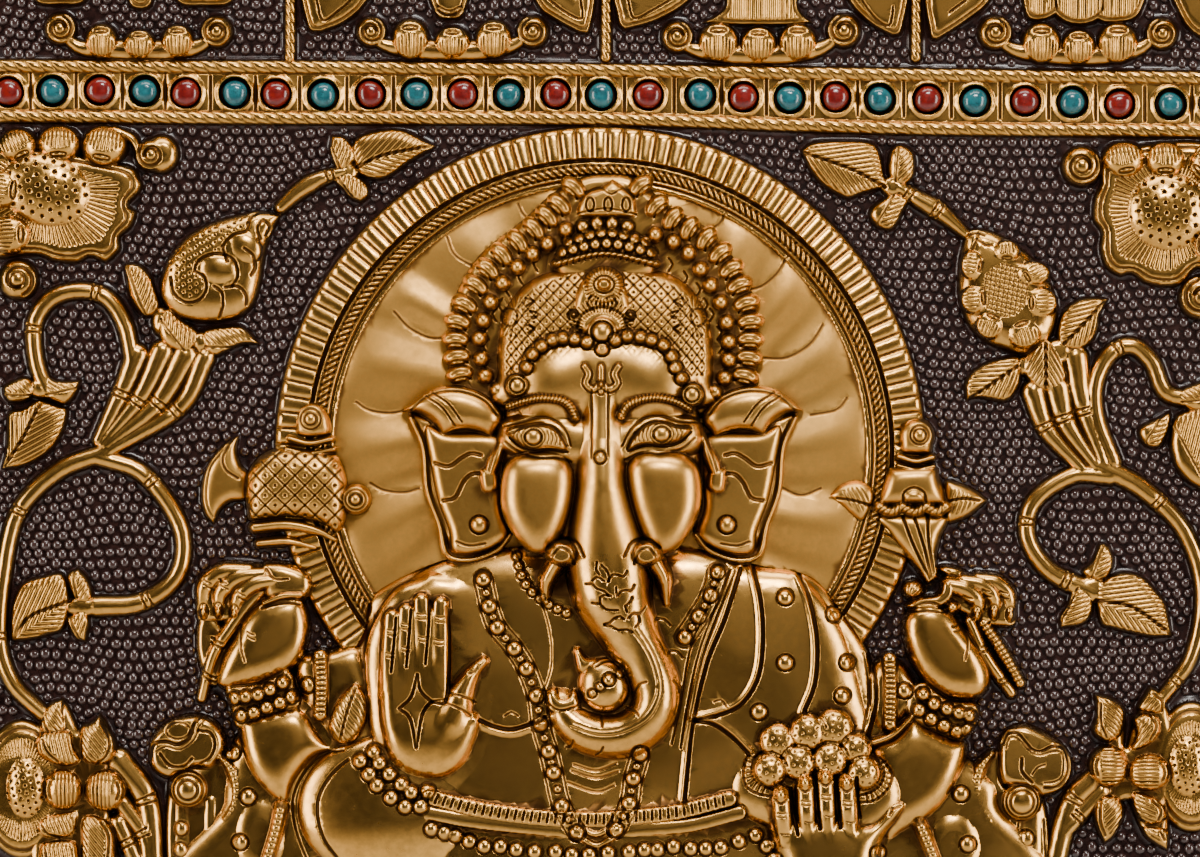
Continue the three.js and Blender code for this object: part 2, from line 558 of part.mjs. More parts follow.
// Ears, brow, eyes, cheeks, trunk and tusks.
function face() {
  const leftEarTop = [[408, 411], [432, 390], [470, 384], [506, 420], [490, 436], [445, 436], [424, 422]];
  const leftEar = [[424, 420], [490, 430], [512, 470], [512, 532], [478, 558], [444, 556], [436, 500]];
  const rightEarTop = [[800, 411], [776, 390], [738, 386], [700, 422], [716, 438], [762, 442], [784, 424]];
  const rightEar = [[778, 420], [716, 432], [692, 470], [684, 534], [716, 556], [750, 562], [768, 500]];
  const brow = [
    [508, 400], [530, 352], [600, 346], [676, 352], [698, 400], [700, 440], [700, 480], [680, 545],
    [600, 560], [545, 552], [508, 520], [502, 440],
  ];
  const trunk = {
    path: [
      [602, 380], [603, 450], [608, 530], [612, 580], [627, 625], [646, 655], [657, 685], [650, 712],
      [622, 731], [590, 730], [566, 716], [562, 698],
    ],
    widths: [60, 70, 84, 88, 84, 70, 52, 50, 46, 44, 40, 30],
    tops: [22.6, 24, 25, 25, 24.4, 23, 22, 21, 20.4, 19.6, 18, 15],
    pace: 36,
    sides: 8,
  };
  return [
    dome(leftEarTop, 6, 14.6),
    dome(leftEar, 6, 12.4),
    dome(rightEarTop, 6, 14.6),
    dome(rightEar, 6, 12.4),
    dome(brow, 7, FACE),
    oval(538, 494, 34, 52, 10, 24, 10, LARGE_DOME),
    oval(662, 492, 35, 52, 10, 24, 10, LARGE_DOME),
    oval(538, 436, 28, 13, 14, 22.4),
    oval(660, 435, 28, 13, 14, 22.4),
    rib(trunk.path, trunk.widths, 10, trunk.tops, trunk.pace, trunk.sides),
    oval(604, 682, 31, 31, 10, 18.4, 10),
    oval(564, 550, 19, 16, 14, 25),
    oval(645, 550, 19, 16, 14, 25),
    rib([[556, 556], [546, 576], [544, 596]], [22, 20, 8], 12, [20, 19, 15]),
    rib([[656, 560], [664, 576], [664, 598]], [22, 20, 8], 12, [20, 19, 15]),
  ];
}

// The block inside the plaque's square-cut edges.
function trimBlock() {
  const block = new THREE.BoxGeometry(WIDTH, HEIGHT, TRIM_HEIGHT);
  return solid(block.translate(0, 0, TRIM_HEIGHT / 2));
}

// Joins every raised form to the sheet, trims it square and cuts the sockets.
function embossedSheet() {
  const forms = [
    ground(), ...jewelBand(), ...frieze(), ...halo(), ...rosettes(), ...foliage(), ...leftRearHand(),
    ...rightRearHand(), ...scarves(), ...body(), ...raisedHand(), ...bowlHand(), ...crown(), ...face(),
  ];
  const sockets = [...STONES, CUT_SOCKET].map(socket);
  return join(forms).intersect(trimBlock()).subtract(join(sockets));
}

const plaque = new THREE.Group();
plaque.rotation.x = Math.PI / 2;

const gold = new THREE.MeshStandardMaterial({ color: 0xb8862f, roughness: 0.28, metalness: 1 });
const sheet = new THREE.Mesh(geometryOf(embossedSheet()), gold);
sheet.name = 'embossed_sheet';
plaque.add(sheet);

STONES.forEach((spot, i) => {
  const kind = STONE_KINDS[i % 2];
  const look = new THREE.MeshStandardMaterial({ color: kind.colour, roughness: kind.roughness, metalness: 0 });
  const body = stone(spot, kind.radius * UNIT).intersect(trimBlock());
  const piece = new THREE.Mesh(geometryOf(body), look);
  piece.name = `${kind.name}_${Math.floor(i / 2) + 1}`;
  plaque.add(piece);
});

export default plaque;
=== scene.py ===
import json
import math

import bpy
import numpy as np
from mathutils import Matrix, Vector

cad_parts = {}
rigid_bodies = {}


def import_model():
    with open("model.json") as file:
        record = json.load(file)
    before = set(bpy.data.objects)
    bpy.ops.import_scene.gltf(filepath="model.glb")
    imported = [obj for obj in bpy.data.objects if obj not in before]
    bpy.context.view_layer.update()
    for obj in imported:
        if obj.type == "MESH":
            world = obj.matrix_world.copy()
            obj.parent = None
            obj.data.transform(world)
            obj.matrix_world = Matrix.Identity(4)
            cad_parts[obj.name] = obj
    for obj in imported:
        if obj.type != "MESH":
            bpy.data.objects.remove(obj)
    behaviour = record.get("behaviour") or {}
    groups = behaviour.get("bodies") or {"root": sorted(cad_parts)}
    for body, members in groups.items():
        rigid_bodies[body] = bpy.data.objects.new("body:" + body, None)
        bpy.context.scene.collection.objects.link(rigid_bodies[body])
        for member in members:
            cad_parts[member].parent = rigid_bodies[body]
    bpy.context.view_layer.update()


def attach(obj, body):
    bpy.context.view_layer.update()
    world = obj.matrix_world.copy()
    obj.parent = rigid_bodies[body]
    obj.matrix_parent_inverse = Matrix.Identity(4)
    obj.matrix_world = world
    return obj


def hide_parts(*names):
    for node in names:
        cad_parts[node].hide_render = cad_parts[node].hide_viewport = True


for left_over in list(bpy.data.objects):
    bpy.data.objects.remove(left_over)

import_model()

# The drawing of the plaque is GRID_WIDTH by GRID_HEIGHT units, with its origin at the top left
# and y downwards. UNIT is one of them in metres, MILLIMETRES in millimetres.
UNIT = 0.0003
MILLIMETRES = 0.3
GRID_WIDTH = 1200
GRID_HEIGHT = 857
MIDDLE_X = GRID_WIDTH / 2
MIDDLE_Y = GRID_HEIGHT / 2
METRES_PER_MILLIMETRE = 0.001

# The camera looks squarely at the plaque, which just fills the picture.
CAMERA_AWAY = 1.9
SENSOR_WIDTH = 36

camera_data = bpy.data.cameras.new("camera")
camera_data.sensor_width = SENSOR_WIDTH
camera_data.lens = SENSOR_WIDTH * CAMERA_AWAY / (GRID_WIDTH * UNIT)
camera = bpy.data.objects.new("camera", camera_data)
camera.location = (0, -CAMERA_AWAY, 0)
camera.rotation_euler = (math.radians(90), 0, 0)
bpy.context.scene.collection.objects.link(camera)
bpy.context.scene.camera = camera

# Heights above the back, in millimetres.
GROUND = 4
BAND = 5.2
ROPE = 6.6
HALO_VALLEY = 7.2
HALO_FLUTE = 8.6
HALO_ROPE = 8.8
HALO_DISC = 6.4

# The relief is worked on a grid of samples over the drawing.
COLUMNS = 1536
ROWS = 1024
STEP_X = GRID_WIDTH / COLUMNS
STEP_Y = GRID_HEIGHT / ROWS
ROW_PLACES = (np.arange(ROWS + 1, dtype=np.float32) * STEP_Y)[:, None]
COLUMN_PLACES = (np.arange(COLUMNS + 1, dtype=np.float32) * STEP_X)[None, :]
OUTSIDE = -99  # stands for far outside of every form

height = np.full((ROWS + 1, COLUMNS + 1), GROUND, np.float32)
gold = np.full(height.shape, OUTSIDE, np.float32)  # how far inside a gilded form, in drawing units
worked_patina_and_shade = np.zeros(height.shape, np.float32)  # dark patina and painted shade in worked lines, punched rings and sockets
satin = np.zeros(height.shape, np.float32)  # brushed instead of polished
rng = np.random.default_rng(7)


def smooth_curve(points, closed=False, step=3.0):
    """Points along a Catmull-Rom curve. A point with a third value is a sharp corner."""
    runs = []
    count = len(points)
    corners = [i for i, p in enumerate(points) if len(p) > 2]
    plain = [np.array(p[:2], float) for p in points]
    if not closed:
        stops = sorted(set([0, count - 1] + corners))
        runs = [plain[a:b + 1] for a, b in zip(stops, stops[1:])]
    elif corners:
        start = corners[0]
        turned = plain[start:] + plain[:start + 1]
        stops = [c - start for c in corners] + [count]
        runs = [turned[a:b + 1] for a, b in zip(stops, stops[1:])]
    else:
        runs = [plain + [plain[0]]]
    out = []
    for run in runs:
        looped = closed and not corners
        before = run[-2] if looped else 2 * run[0] - run[1]
        after = run[1] if looped else 2 * run[-1] - run[-2]
        knots = [before] + run + [after]
        for a, b, c, d in zip(knots, knots[1:], knots[2:], knots[3:]):
            pieces = max(1, int(round(np.linalg.norm(c - b) / step)))
            t = (np.arange(pieces) / pieces)[:, None]
            out.append(0.5 * (2 * b + (c - a) * t + (2 * a - 5 * b + 4 * c - d) * t ** 2
                              + (3 * b - a - 3 * c + d) * t ** 3))
    if not closed:
        out.append(runs[-1][-1][None])
    return np.concatenate(out)


class Window:
    """The samples in a box of the drawing, with their places x and y."""

    def __init__(self, points, margin=6.0, stride=1):
        low = np.min(points, axis=0) - margin
        high = np.max(points, axis=0) + margin
        left, right = self.span(low[0], high[0], STEP_X, COLUMNS, stride)
        top, bottom = self.span(low[1], high[1], STEP_Y, ROWS, stride)
        self.stride = stride
        self.index = (slice(top, bottom + 1), slice(left, right + 1))
        self.x = np.arange(left, right + 1, dtype=np.float32)[None, :] * np.float32(STEP_X)
        self.y = np.arange(top, bottom + 1, dtype=np.float32)[:, None] * np.float32(STEP_Y)

    @staticmethod
    def span(low, high, step, count, stride):
        first = int(max(0, low / step)) // stride * stride
        last = -(-int(min(count, np.ceil(high / step))) // stride) * stride
        first = min(first, count - stride)
        return first, max(first + stride, last)

    def fill(self, values):
        """Spreads values worked out on every stride-th sample to all of them."""
        if self.stride == 1:
            return values
        for axis in (0, 1):
            count = values.shape[axis]
            spot = np.arange((count - 1) * self.stride + 1) / self.stride
            first = np.minimum(spot.astype(int), count - 2)
            share = (spot - first).astype(np.float32)
            share = share[:, None] if axis == 0 else share[None, :]
            values = (values.take(first, axis) * (1 - share) + values.take(first + 1, axis) * share)
        return values

    def coarse(self):
        x = self.x[:, ::self.stride]
        y = self.y[::self.stride]
        return np.broadcast_arrays(x, y)


CHUNK = 3_000_000


def reach_inside(outline, window):
    """A smooth distance from an outline, positive inside: near the edge it is the true distance."""
    x, y = window.coarse()
    shape = x.shape
    x = x.ravel()[:, None]
    y = y.ravel()[:, None]
    total = np.zeros(len(x), np.float32)
    crossings = np.zeros(len(x), np.int32)
    starts = outline.astype(np.float32)
    ends = np.roll(starts, -1, axis=0)
    size = max(1, CHUNK // len(x))
    for first in range(0, len(starts), size):
        a = starts[first:first + size]
        b = ends[first:first + size]
        side = b - a
        length = np.maximum(np.hypot(side[:, 0], side[:, 1]), 1e-4)
        ex, ey = side[:, 0] / length, side[:, 1] / length
        ax, ay = a[:, 0] - x, a[:, 1] - y
        s1 = ax * ex + ay * ey
        s2 = s1 + length
        away = (ax * ey - ay * ex) ** 2 + 1e-4
        r1 = np.sqrt(s1 * s1 + away)
        r2 = np.sqrt(s2 * s2 + away)
        over = (s2 * r1 - s1 * r2) / (away * r1 * r2)
        beside = (s2 * s2 - s1 * s1) / np.where(s1 * s2 > 0, (s2 * r1 + s1 * r2) * r1 * r2, 1)
        total += np.where(s1 * s2 > 0, beside, over).sum(1)
        rises = np.where(side[:, 1] == 0, 1, side[:, 1])
        crossed = (ay > 0) != (ay + side[:, 1] > 0)
        crossings += (crossed & (ax - ay * side[:, 0] / rises > 0)).sum(1)
    distance = np.sqrt(2 / np.maximum(total, 1e-9))
    signed = np.where(crossings % 2 == 1, distance, -distance)
    return window.fill(signed.reshape(shape).astype(np.float32))


def along_path(path, window):
    """For each sample: distance to a path, which side of it, and how far along it."""
    x, y = window.coarse()
    best = np.full(x.shape, 1e9, np.float32)
    side = np.zeros(x.shape, np.float32)
    run = np.zeros(x.shape, np.float32)
    travelled = 0.0
    for a, b in zip(path, path[1:]):
        step = b - a
        length = max(float(np.hypot(*step)), 1e-6)
        ex, ey = step / length
        s = np.clip((x - a[0]) * ex + (y - a[1]) * ey, 0, length)
        dx = x - a[0] - s * ex
        dy = y - a[1] - s * ey
        distance = dx * dx + dy * dy
        nearer = distance < best
        best = np.where(nearer, distance, best)
        side = np.where(nearer, ex * dy - ey * dx, side)
        run = np.where(nearer, travelled + s, run)
        travelled += length
    return window.fill(np.sqrt(best)), window.fill(np.sign(side)), window.fill(run), travelled


def rounded(t):
    """A quarter circle from 0 at the edge to 1."""
    t = np.clip(t, 0, 1)
    return np.sqrt(np.maximum(t * (2 - t), 0))


def smooth_step(t):
    t = np.clip(t, 0, 1)
    return t * t * (3 - 2 * t)


def lift(window, reach, surface, blend=0.0):
    """Raises the relief to a surface wherever reach is positive."""
    now = height[window.index]
    if blend:
        overlap = np.maximum(blend - np.abs(now - surface), 0) / blend
        raised = np.maximum(now, surface) + overlap ** 2 * blend / 4
    else:
        raised = np.maximum(now, surface)
    # What a form covers loses the patina and painted shade that it had.
    covered = np.clip((surface - now) / 0.5, 0, 1) * (reach > 0)
    worked_patina_and_shade[window.index] *= 1 - covered
    height[window.index] = np.where(reach > 0, raised, now)
    gold[window.index] = np.maximum(gold[window.index], reach)


def boss(points, foot, top, edge=None, power=1.0, blend=0.0, stride=1, curve=True):
    """A rounded boss over an outline. Without an edge width it rises all the way to its middle."""
    outline = smooth_curve(points, True) if curve else np.array(points, float)
    window = Window(outline, stride=stride)
    reach = reach_inside(outline, window)
    width = edge or reach.max()
    share = rounded(reach / width) ** power
    lift(window, reach, foot + (top - foot) * share, blend)
    return window, reach


def oval_points(x, y, rx, ry, turn=0.0, count=28):
    angle = np.arange(count) / count * 2 * np.pi
    c, s = np.cos(turn), np.sin(turn)
    u, v = rx * np.cos(angle), ry * np.sin(angle)
    return np.stack([x + u * c - v * s, y + u * s + v * c], 1)


def oval(x, y, rx, ry, foot, top, edge=None, power=1.0, turn=0.0, blend=0.0):
    """A rounded oval boss, worked out from its own formula."""
    window = Window(oval_points(x, y, rx, ry, turn), margin=4)
    c, s = np.cos(turn), np.sin(turn)
    dx, dy = window.x - x, window.y - y
    radial = np.sqrt(((dx * c + dy * s) / rx) ** 2 + ((dy * c - dx * s) / ry) ** 2)
    reach = (1 - radial) * min(rx, ry)
    width = edge or min(rx, ry)
    share = rounded(reach / width) ** power
    lift(window, reach, foot + (top - foot) * share, blend)
    return window, reach


def spread(values, run, length):
    """Values read off evenly along a path."""
    if np.isscalar(values):
        return np.float32(values)
    spots = np.linspace(0, length, len(values))
    return np.interp(run, spots, values).astype(np.float32)


def tube(points, widths, foot, tops, power=1.0, blend=0.0, stride=1, floor=0.0):
    """A rounded rib along a path; its width and its crest are read off along it."""
    path = smooth_curve(points, step=4.0)
    window = Window(path, margin=np.max(widths) / 2 + 4, stride=stride)
    distance, side, run, length = along_path(path, window)
    half = spread(widths, run, length) / 2
    crest = spread(tops, run, length)
    share = np.sqrt(np.clip(1 - (distance / half) ** 2, 0, 1)) ** power
    base = foot + floor * (crest - foot)
    lift(window, half - distance, base + (crest - base) * share, blend)
    return window, distance * side, run, length, half


def groove(points, width=1.8, depth=0.35, closed=False, dark=0.8, curve=True, step=4.0):
    """An engraved line."""
    path = smooth_curve(points, closed, step) if curve else np.array(points, float)
    if closed:
        path = np.concatenate([path, path[:1]])
    window = Window(path, margin=width + 2)
    distance = along_path(path, window)[0]
    cut = np.clip(1 - (distance / width) ** 2, 0, 1) ** 1.5
    height[window.index] -= depth * cut
    # The bottom of the line is painted dark: patina with painted shade.
    worked_patina_and_shade[window.index] = np.maximum(worked_patina_and_shade[window.index], dark * cut)


def beads(points, radius, rise, ring=0.25):
    """Domes on the surface that is there, each with a punched ring round it."""
    whole = Window(np.array(points), margin=radius + 4)
    base = height[whole.index].copy()
    layer = np.zeros_like(base)
    for x, y in points:
        distance = np.hypot(whole.x - x, whole.y - y) if len(points) < 3 else None
        if distance is None:
            columns = np.flatnonzero(np.abs(whole.x[0] - x) < radius + 3)
            rows = np.flatnonzero(np.abs(whole.y[:, 0] - y) < radius + 3)
            if not len(columns) or not len(rows):
                continue
            part = (slice(rows[0], rows[-1] + 1), slice(columns[0], columns[-1] + 1))
            distance = np.hypot(whole.x[:, part[1]] - x, whole.y[part[0]] - y)
        else:
            part = (slice(None), slice(None))
        dome = rise * np.sqrt(np.clip(1 - (distance / radius) ** 2, 0, 1))
        moat = ring * np.exp(-((distance - radius) / 1.1) ** 2)
        layer[part] = np.where(dome > 0, np.maximum(layer[part], dome), layer[part])
        layer[part] = np.where(layer[part] <= 0, np.minimum(layer[part], -moat), layer[part])
        # The punched ring round each dome is painted dark: patina with painted shade.
        view = worked_patina_and_shade[whole.index]
        view[part] = np.maximum(view[part], 0.8 * np.exp(-((distance - radius) / 1.2) ** 2))
    height[whole.index] = base + layer


def along(points, pitch, start=0.0, curve=True):
    """Places every pitch along a path, with the heading there."""
    path = smooth_curve(points, step=2.0) if curve else np.array(points, float)
    lengths = np.concatenate([[0], np.cumsum(np.hypot(*np.diff(path, axis=0).T))])
    spots = np.arange(start, lengths[-1], pitch)

    def read(places, axis):
        return np.interp(places, lengths, path[:, axis])

    ahead_x, ahead_y = (read(spots + 1, axis) - read(spots - 1, axis) for axis in (0, 1))
    return np.stack([read(spots, 0), read(spots, 1)], 1), np.arctan2(ahead_y, ahead_x)


def engrave(window, cut, depth, dark=0.8):
    """Cuts a pattern, given as a share of the depth, into the samples of a window."""
    height[window.index] -= depth * cut
    # The cut is painted dark: patina with painted shade.
    worked_patina_and_shade[window.index] = np.maximum(worked_patina_and_shade[window.index], dark * cut)


def lines(coordinate, pitch, width):
    """Parallel engraved lines of a coordinate, as a share of their depth."""
    off = np.abs((coordinate / pitch + 0.5) % 1 - 0.5) * pitch
    return np.clip(1 - (off / width) ** 2, 0, 1) ** 1.5


def ridges(window, off, pitch, share, depth, dark=0.9):
    """Round ridges with sharp valleys between: off is the distance from the nearest valley."""
    u = np.clip(off / (pitch / 2), 0, 1)
    cut = 1 - np.sqrt(np.clip(1 - (1 - u) ** 2, 0, 1))
    height[window.index] -= depth * cut * share
    # The valleys are painted dark: patina with painted shade.
    shade = np.clip(1 - u * 1.9, 0, 1) * share
    worked_patina_and_shade[window.index] = np.maximum(worked_patina_and_shade[window.index], dark * shade)


def hatch(window, reach, angle, pitch, depth=0.5, inset=2.0, where=None):
    """Straight ridges inside a form."""
    across = window.x * np.sin(angle) - window.y * np.cos(angle)
    share = smooth_step((reach - inset) / 2)
    if where is not None:
        share = share * where
    off = np.abs((across / pitch + 0.5) % 1 - 0.5) * pitch
    ridges(window, off, pitch, share, depth)


def fan(window, reach, centre, count, depth=0.5, inset=2.0, where=None, start=0.0):
    """Ridges that run out from a centre."""
    dx, dy = window.x - centre[0], window.y - centre[1]
    away = np.hypot(dx, dy) + 1e-3
    pitch = 2 * np.pi * away / count
    off = np.abs((np.arctan2(dy, dx) * count / (2 * np.pi) + 0.5) % 1 - 0.5) * pitch
    share = smooth_step((reach - inset) / 2) * smooth_step((pitch - 1.8) / 1.2)
    share = share * smooth_step((away - start) / 2)
    if where is not None:
        share = share * where
    ridges(window, off, pitch, share, depth)


def dots(window, reach, pitch, radius, depth=0.4, inset=3.0, where=None, turn=0.0):
    """Punched dots in staggered rows inside a form."""
    c, s = np.cos(turn), np.sin(turn)
    u = window.x * c + window.y * s
    v = window.y * c - window.x * s
    row = np.round(v / (pitch * 0.87))
    shifted = u - (row % 2) * pitch / 2
    du = shifted - np.round(shifted / pitch) * pitch
    dv = v - row * pitch * 0.87
    share = (reach > inset) * 1.0
    if where is not None:
        share = share * (where > 0.5)
    cut = np.clip(1 - (du * du + dv * dv) / radius ** 2, 0, 1) * share
    engrave(window, cut, depth)


def rope(points, width, foot, top, pitch, slant=1.0, notch=0.9):
    """A twisted rope along a path."""
    path = smooth_curve(points, step=8.0)
    window = Window(path, margin=width / 2 + 3)
    distance, side, run = along_path(path, window)[:3]
    half = width / 2
    reach = half - distance
    phase = (run + slant * distance * side) / pitch
    off = np.abs((phase + 0.5) % 1 - 0.5) * 2  # 0 on a notch, 1 on a strand's crest
    strand = np.sqrt(np.clip(1 - (1 - off) ** 2, 0, 1))
    section = np.sqrt(np.clip(1 - (distance / half) ** 2, 0, 1))
    surface = foot + (top - foot) * section * (1 - 0.32 * notch + 0.32 * notch * strand)
    lift(window, reach, surface)
    # The notches between the strands are painted dark: patina with painted shade.
    dark = np.clip(1 - off * 2.4, 0, 1) * (reach > 0)
    worked_patina_and_shade[window.index] = np.maximum(worked_patina_and_shade[window.index], 0.75 * dark)


def curl(x, y, radius, foot, top, hand=1, start=0.0, turns=1.15):
    """A scroll end: a boss with a spiral engraved in it."""
    oval(x, y, radius, radius, foot, top, edge=radius * 0.6)
    count = int(24 * turns)
    t = np.linspace(0, 1, count)
    angle = start + hand * turns * 2 * np.pi * t
    away = radius * (0.78 - 0.42 * t)
    groove(np.stack([x + away * np.cos(angle), y + away * np.sin(angle)], 1), 2.4, 0.9, curve=False)
    beads([(x, y)], radius * 0.33, 1.2)


def across_path(points, pitch, length, width=1.4, depth=0.3, start=0.0, lean=0.0, dark=0.8):
    """Short engraved strokes across a path."""
    spots, headings = along(points, pitch, start)
    for (x, y), heading in zip(spots, headings):
        turn = heading + np.pi / 2 + lean
        dx, dy = np.cos(turn) * length / 2, np.sin(turn) * length / 2
        groove([(x - dx, y - dy), (x + dx, y + dy)], width, depth, dark=dark, curve=False)


def net(window, u, v, pitch, share, depth, dot):
    """Crossed lines with a punched dot in each of their cells."""
    ways = (u + v) * 0.7071, (u - v) * 0.7071
    off = 0
    for way in ways:
        engrave(window, lines(way, pitch, 1.4) * share, depth, 0.9)
        off = off + (((way / pitch) % 1 - 0.5) * pitch) ** 2
    engrave(window, np.clip(1 - off / dot ** 2, 0, 1) * share, depth * 1.2, 0.9)


def ring_boss(x, y, radius, ring, dome, top, foot=GROUND):
    """A round boss with a punched ring and a dome in its middle."""
    oval(x, y, radius, radius, foot, top, edge=radius * 0.6)
    groove(oval_points(x, y, ring, ring), 1.6, 0.6, closed=True)
    beads([(x, y)], dome, 1.5, ring=0.5)


def ticks(places, length=9.0, lean=0.0, width=1.5, depth=0.5):
    """Pairs of short strokes, as on knuckles."""
    c, s = np.cos(lean) * length / 2, np.sin(lean) * length / 2
    for x, y in places:
        groove([(x - c, y - s), (x, y + 0.6), (x + c, y + s)], width, depth)


# The jewelled band between two ropes, which fall a little towards the right.
ROPE_ABOVE = [(-20, 67), (300, 68), (600, 71), (900, 75.5), (1220, 79)]
ROPE_BELOW = [(-20, 117), (300, 119), (600, 120), (900, 129), (1220, 132)]
BAND_EDGE = [(-20, 72), (600, 75), (1220, 84), (1220, 128), (900, 124), (600, 115), (-20, 112)]

STONES = [
    (10, 93), (54, 92), (101, 91), (146, 92), (187, 94), (236, 94), (277, 95), (324, 96), (371, 95),
    (417, 95), (463, 95), (509, 96), (556, 95), (601, 96), (648, 96), (700, 96), (743, 98), (789, 99),
    (835, 98), (879, 100), (927, 100), (974, 102), (1024, 102), (1071, 103), (1118, 105), (1169, 105),
]

CUT_SOCKET = (1212, 104)
SOCKET_RADII = 14.9, 15.4
SOCKET_FLOOR = 3.4


def jewel_band():
    boss(BAND_EDGE, GROUND, BAND, edge=3, curve=False, stride=2)
    sockets = STONES + [CUT_SOCKET]
    for i, (x, y) in enumerate(sockets):
        window = Window([(x, y)], margin=26)
        away = np.hypot(window.x - x, window.y - y)
        collar = 0.8 * np.exp(-((away - SOCKET_RADII[i % 2] - 1.8) / 2.2) ** 2)
        height[window.index] += collar
    # Each stone sits in a square cell, parted from the next by a groove.
    for (x0, y0), (x1, y1) in zip(sockets, sockets[1:]):
        x, y = (x0 + x1) / 2, (y0 + y1) / 2
        groove([(x, y - 17), (x, y + 17)], 2.4, 0.7, curve=False)
    rope(ROPE_ABOVE, 15, GROUND, ROPE, 12.5, slant=-0.9)
    rope(ROPE_BELOW, 15, GROUND, ROPE, 12.5, slant=-0.9)
    for i, (x, y) in enumerate(sockets):
        window = Window([(x, y)], margin=20)
        away = np.hypot(window.x - x, window.y - y)
        wall = smooth_step((away - SOCKET_RADII[i % 2] + 1) / 2)
        now = height[window.index]
        height[window.index] = SOCKET_FLOOR + (now - SOCKET_FLOOR) * wall
        # The sunk floor round each stone is painted dark: painted shade.
        worked_patina_and_shade[window.index] = np.maximum(worked_patina_and_shade[window.index], 1 - wall)


def petal(x, y, rx, ry, top, heading, pitch=3.9, foot=GROUND, share=0.30):
    """A full round petal: ridges over most of it, and a lens cut near one end."""
    window, reach = oval(x, y, rx, ry, foot, top, power=0.75)
    c, s = np.cos(heading), np.sin(heading)
    size = min(rx, ry)
    ahead = ((window.x - x) * c + (window.y - y) * s) / size
    beside = ((window.y - y) * c - (window.x - x) * s) / size
    arch = smooth_step((share - 0.5 * beside ** 2 - ahead) * size / 1.5)
    hatch(window, reach, heading, pitch, 0.75, inset=2.5, where=arch)
    lens = []
    for t in np.arange(10) / 10 * 2 * np.pi:
        u, v = (0.57 + 0.12 * np.cos(t)) * size, 0.42 * size * np.sin(t)
        lens.append((x + u * c - v * s, y + u * s + v * c))
    groove(lens, 1.5, 0.7, closed=True)


def frieze():
    for x in (291, 606, 915):
        rope([(x, -10), (x, 30), (x, 58)], 13, GROUND, 7.0, 10, slant=0.9)
    petals = [
        (103, 42, 17, 18), (141, 45, 17, 15), (179, 42, 17, 17), (411, 40, 19, 21), (453, 43, 19, 16),
        (494, 40, 19, 20), (718, 43, 21, 20), (758, 45, 19, 18), (797, 43, 20, 19), (1040, 44, 20, 21),
        (1077, 48, 18, 18), (1116, 44, 21, 21),
    ]
    sweeps = [
        [(68, 40), (84, 49), (110, 50), (141, 51), (185, 50), (202, 46), (214, 38)],
        [(376, 42), (394, 48), (420, 50), (453, 51), (490, 50), (512, 46), (526, 38)],
        [(682, 46), (700, 52), (725, 54), (758, 55), (795, 54), (818, 50), (836, 40)],
        [(1000, 44), (1018, 52), (1045, 54), (1077, 56), (1116, 54), (1136, 50), (1152, 40)],
    ]
    for sweep in sweeps:
        tube(sweep, [12, 18, 22, 22, 22, 18, 12], GROUND, 7.0)
    for x, y, rx, ry in petals:
        petal(x, y, rx, ry, 9.6, -np.pi / 2, pitch=3.7)
    curls = [
        (62, 30, 17, 1), (218, 33, 17, -1), (372, 33, 16, 1), (533, 33, 17, -1), (677, 38, 17, 1),
        (843, 32, 18, -1), (994, 34, 18, 1), (1160, 35, 17, -1),
    ]
    for x, y, radius, hand in curls:
        curl(x, y, radius, GROUND, 8.8, hand, start=-1.2 if hand > 0 else -1.9)
    leaves = [
        [(30, -20), (90, -20), (86, 4), (60, 7), (38, 4)],
        [(128, -20), (156, -20), (152, 8), (132, 8)],
        [(172, -20), (240, -20), (232, 5), (205, 8), (180, 5)],
        [(306, -25), (380, -25), (366, 6), (346, 24), (322, 34, 1), (308, 28)],
        [(428, -20), (470, -20), (464, 16), (450, 21), (436, 16)],
        [(528, -25), (592, -25), (591, 30), (580, 35, 1), (556, 22), (538, 8)],
        [(618, -25), (706, -25), (690, 2), (658, 22), (624, 32, 1), (617, 20)],
        [(728, -25), (795, -25), (798, 8), (812, 24, 1), (790, 27), (735, 27), (702, 24, 1), (724, 8)],
        [(836, -25), (904, -25), (902, 30), (892, 38, 1), (870, 26), (850, 6)],
        [(928, -25), (1000, -25), (988, 4), (964, 24), (936, 42, 1), (928, 34)],
        [(1060, -25), (1140, -25), (1138, 16), (1110, 25), (1090, 18), (1070, -5)],
        [(1022, -25), (1062, -25), (1060, 8), (1048, 20), (1030, 22), (1022, 10)],
        [(1052, -25), (1100, -25), (1106, 8), (1096, 22), (1078, 27), (1060, 22), (1050, 8)],
        [(1166, -25), (1220, -25), (1220, 42), (1196, 38), (1178, 18)],
    ]
    for outline in leaves:
        window, reach = boss(outline, GROUND, 8.4, edge=12, power=0.8)
        if outline[0][0] in (728, 1060, 1022, 1052):
            hatch(window, reach, np.pi / 2, 4.2, 0.7, inset=5)
        engrave(window, np.clip(1 - ((reach - 4.5) / 1.5) ** 2, 0, 1), 0.5, 0.8)
    leaf_strokes = (
        [(318, 2), (324, 22), (340, 12), (356, -2)],
        [(580, -2), (582, 20), (566, 14), (548, 0)],
        [(628, 2), (634, 20), (652, 12), (676, -2)],
        [(858, -2), (874, 20), (888, 27), (892, 8)],
        [(948, 14), (956, 8), (972, -4)],
        [(438, 8), (450, 13), (462, 8)],
        [(438, 12), (450, 17), (462, 12)],
    )
    for strokes in leaf_strokes:
        groove(strokes, 1.9, 0.7)


# The halo: radii from its middle, numbers of flutes and cords, and the rays on its disc.
HALO_CENTRE = (600, 452)
RIM = 325
RING_OUTER = 291
RING_INNER = 271
DISC_EDGE = 266
FLUTES = 124
CORDS = 250

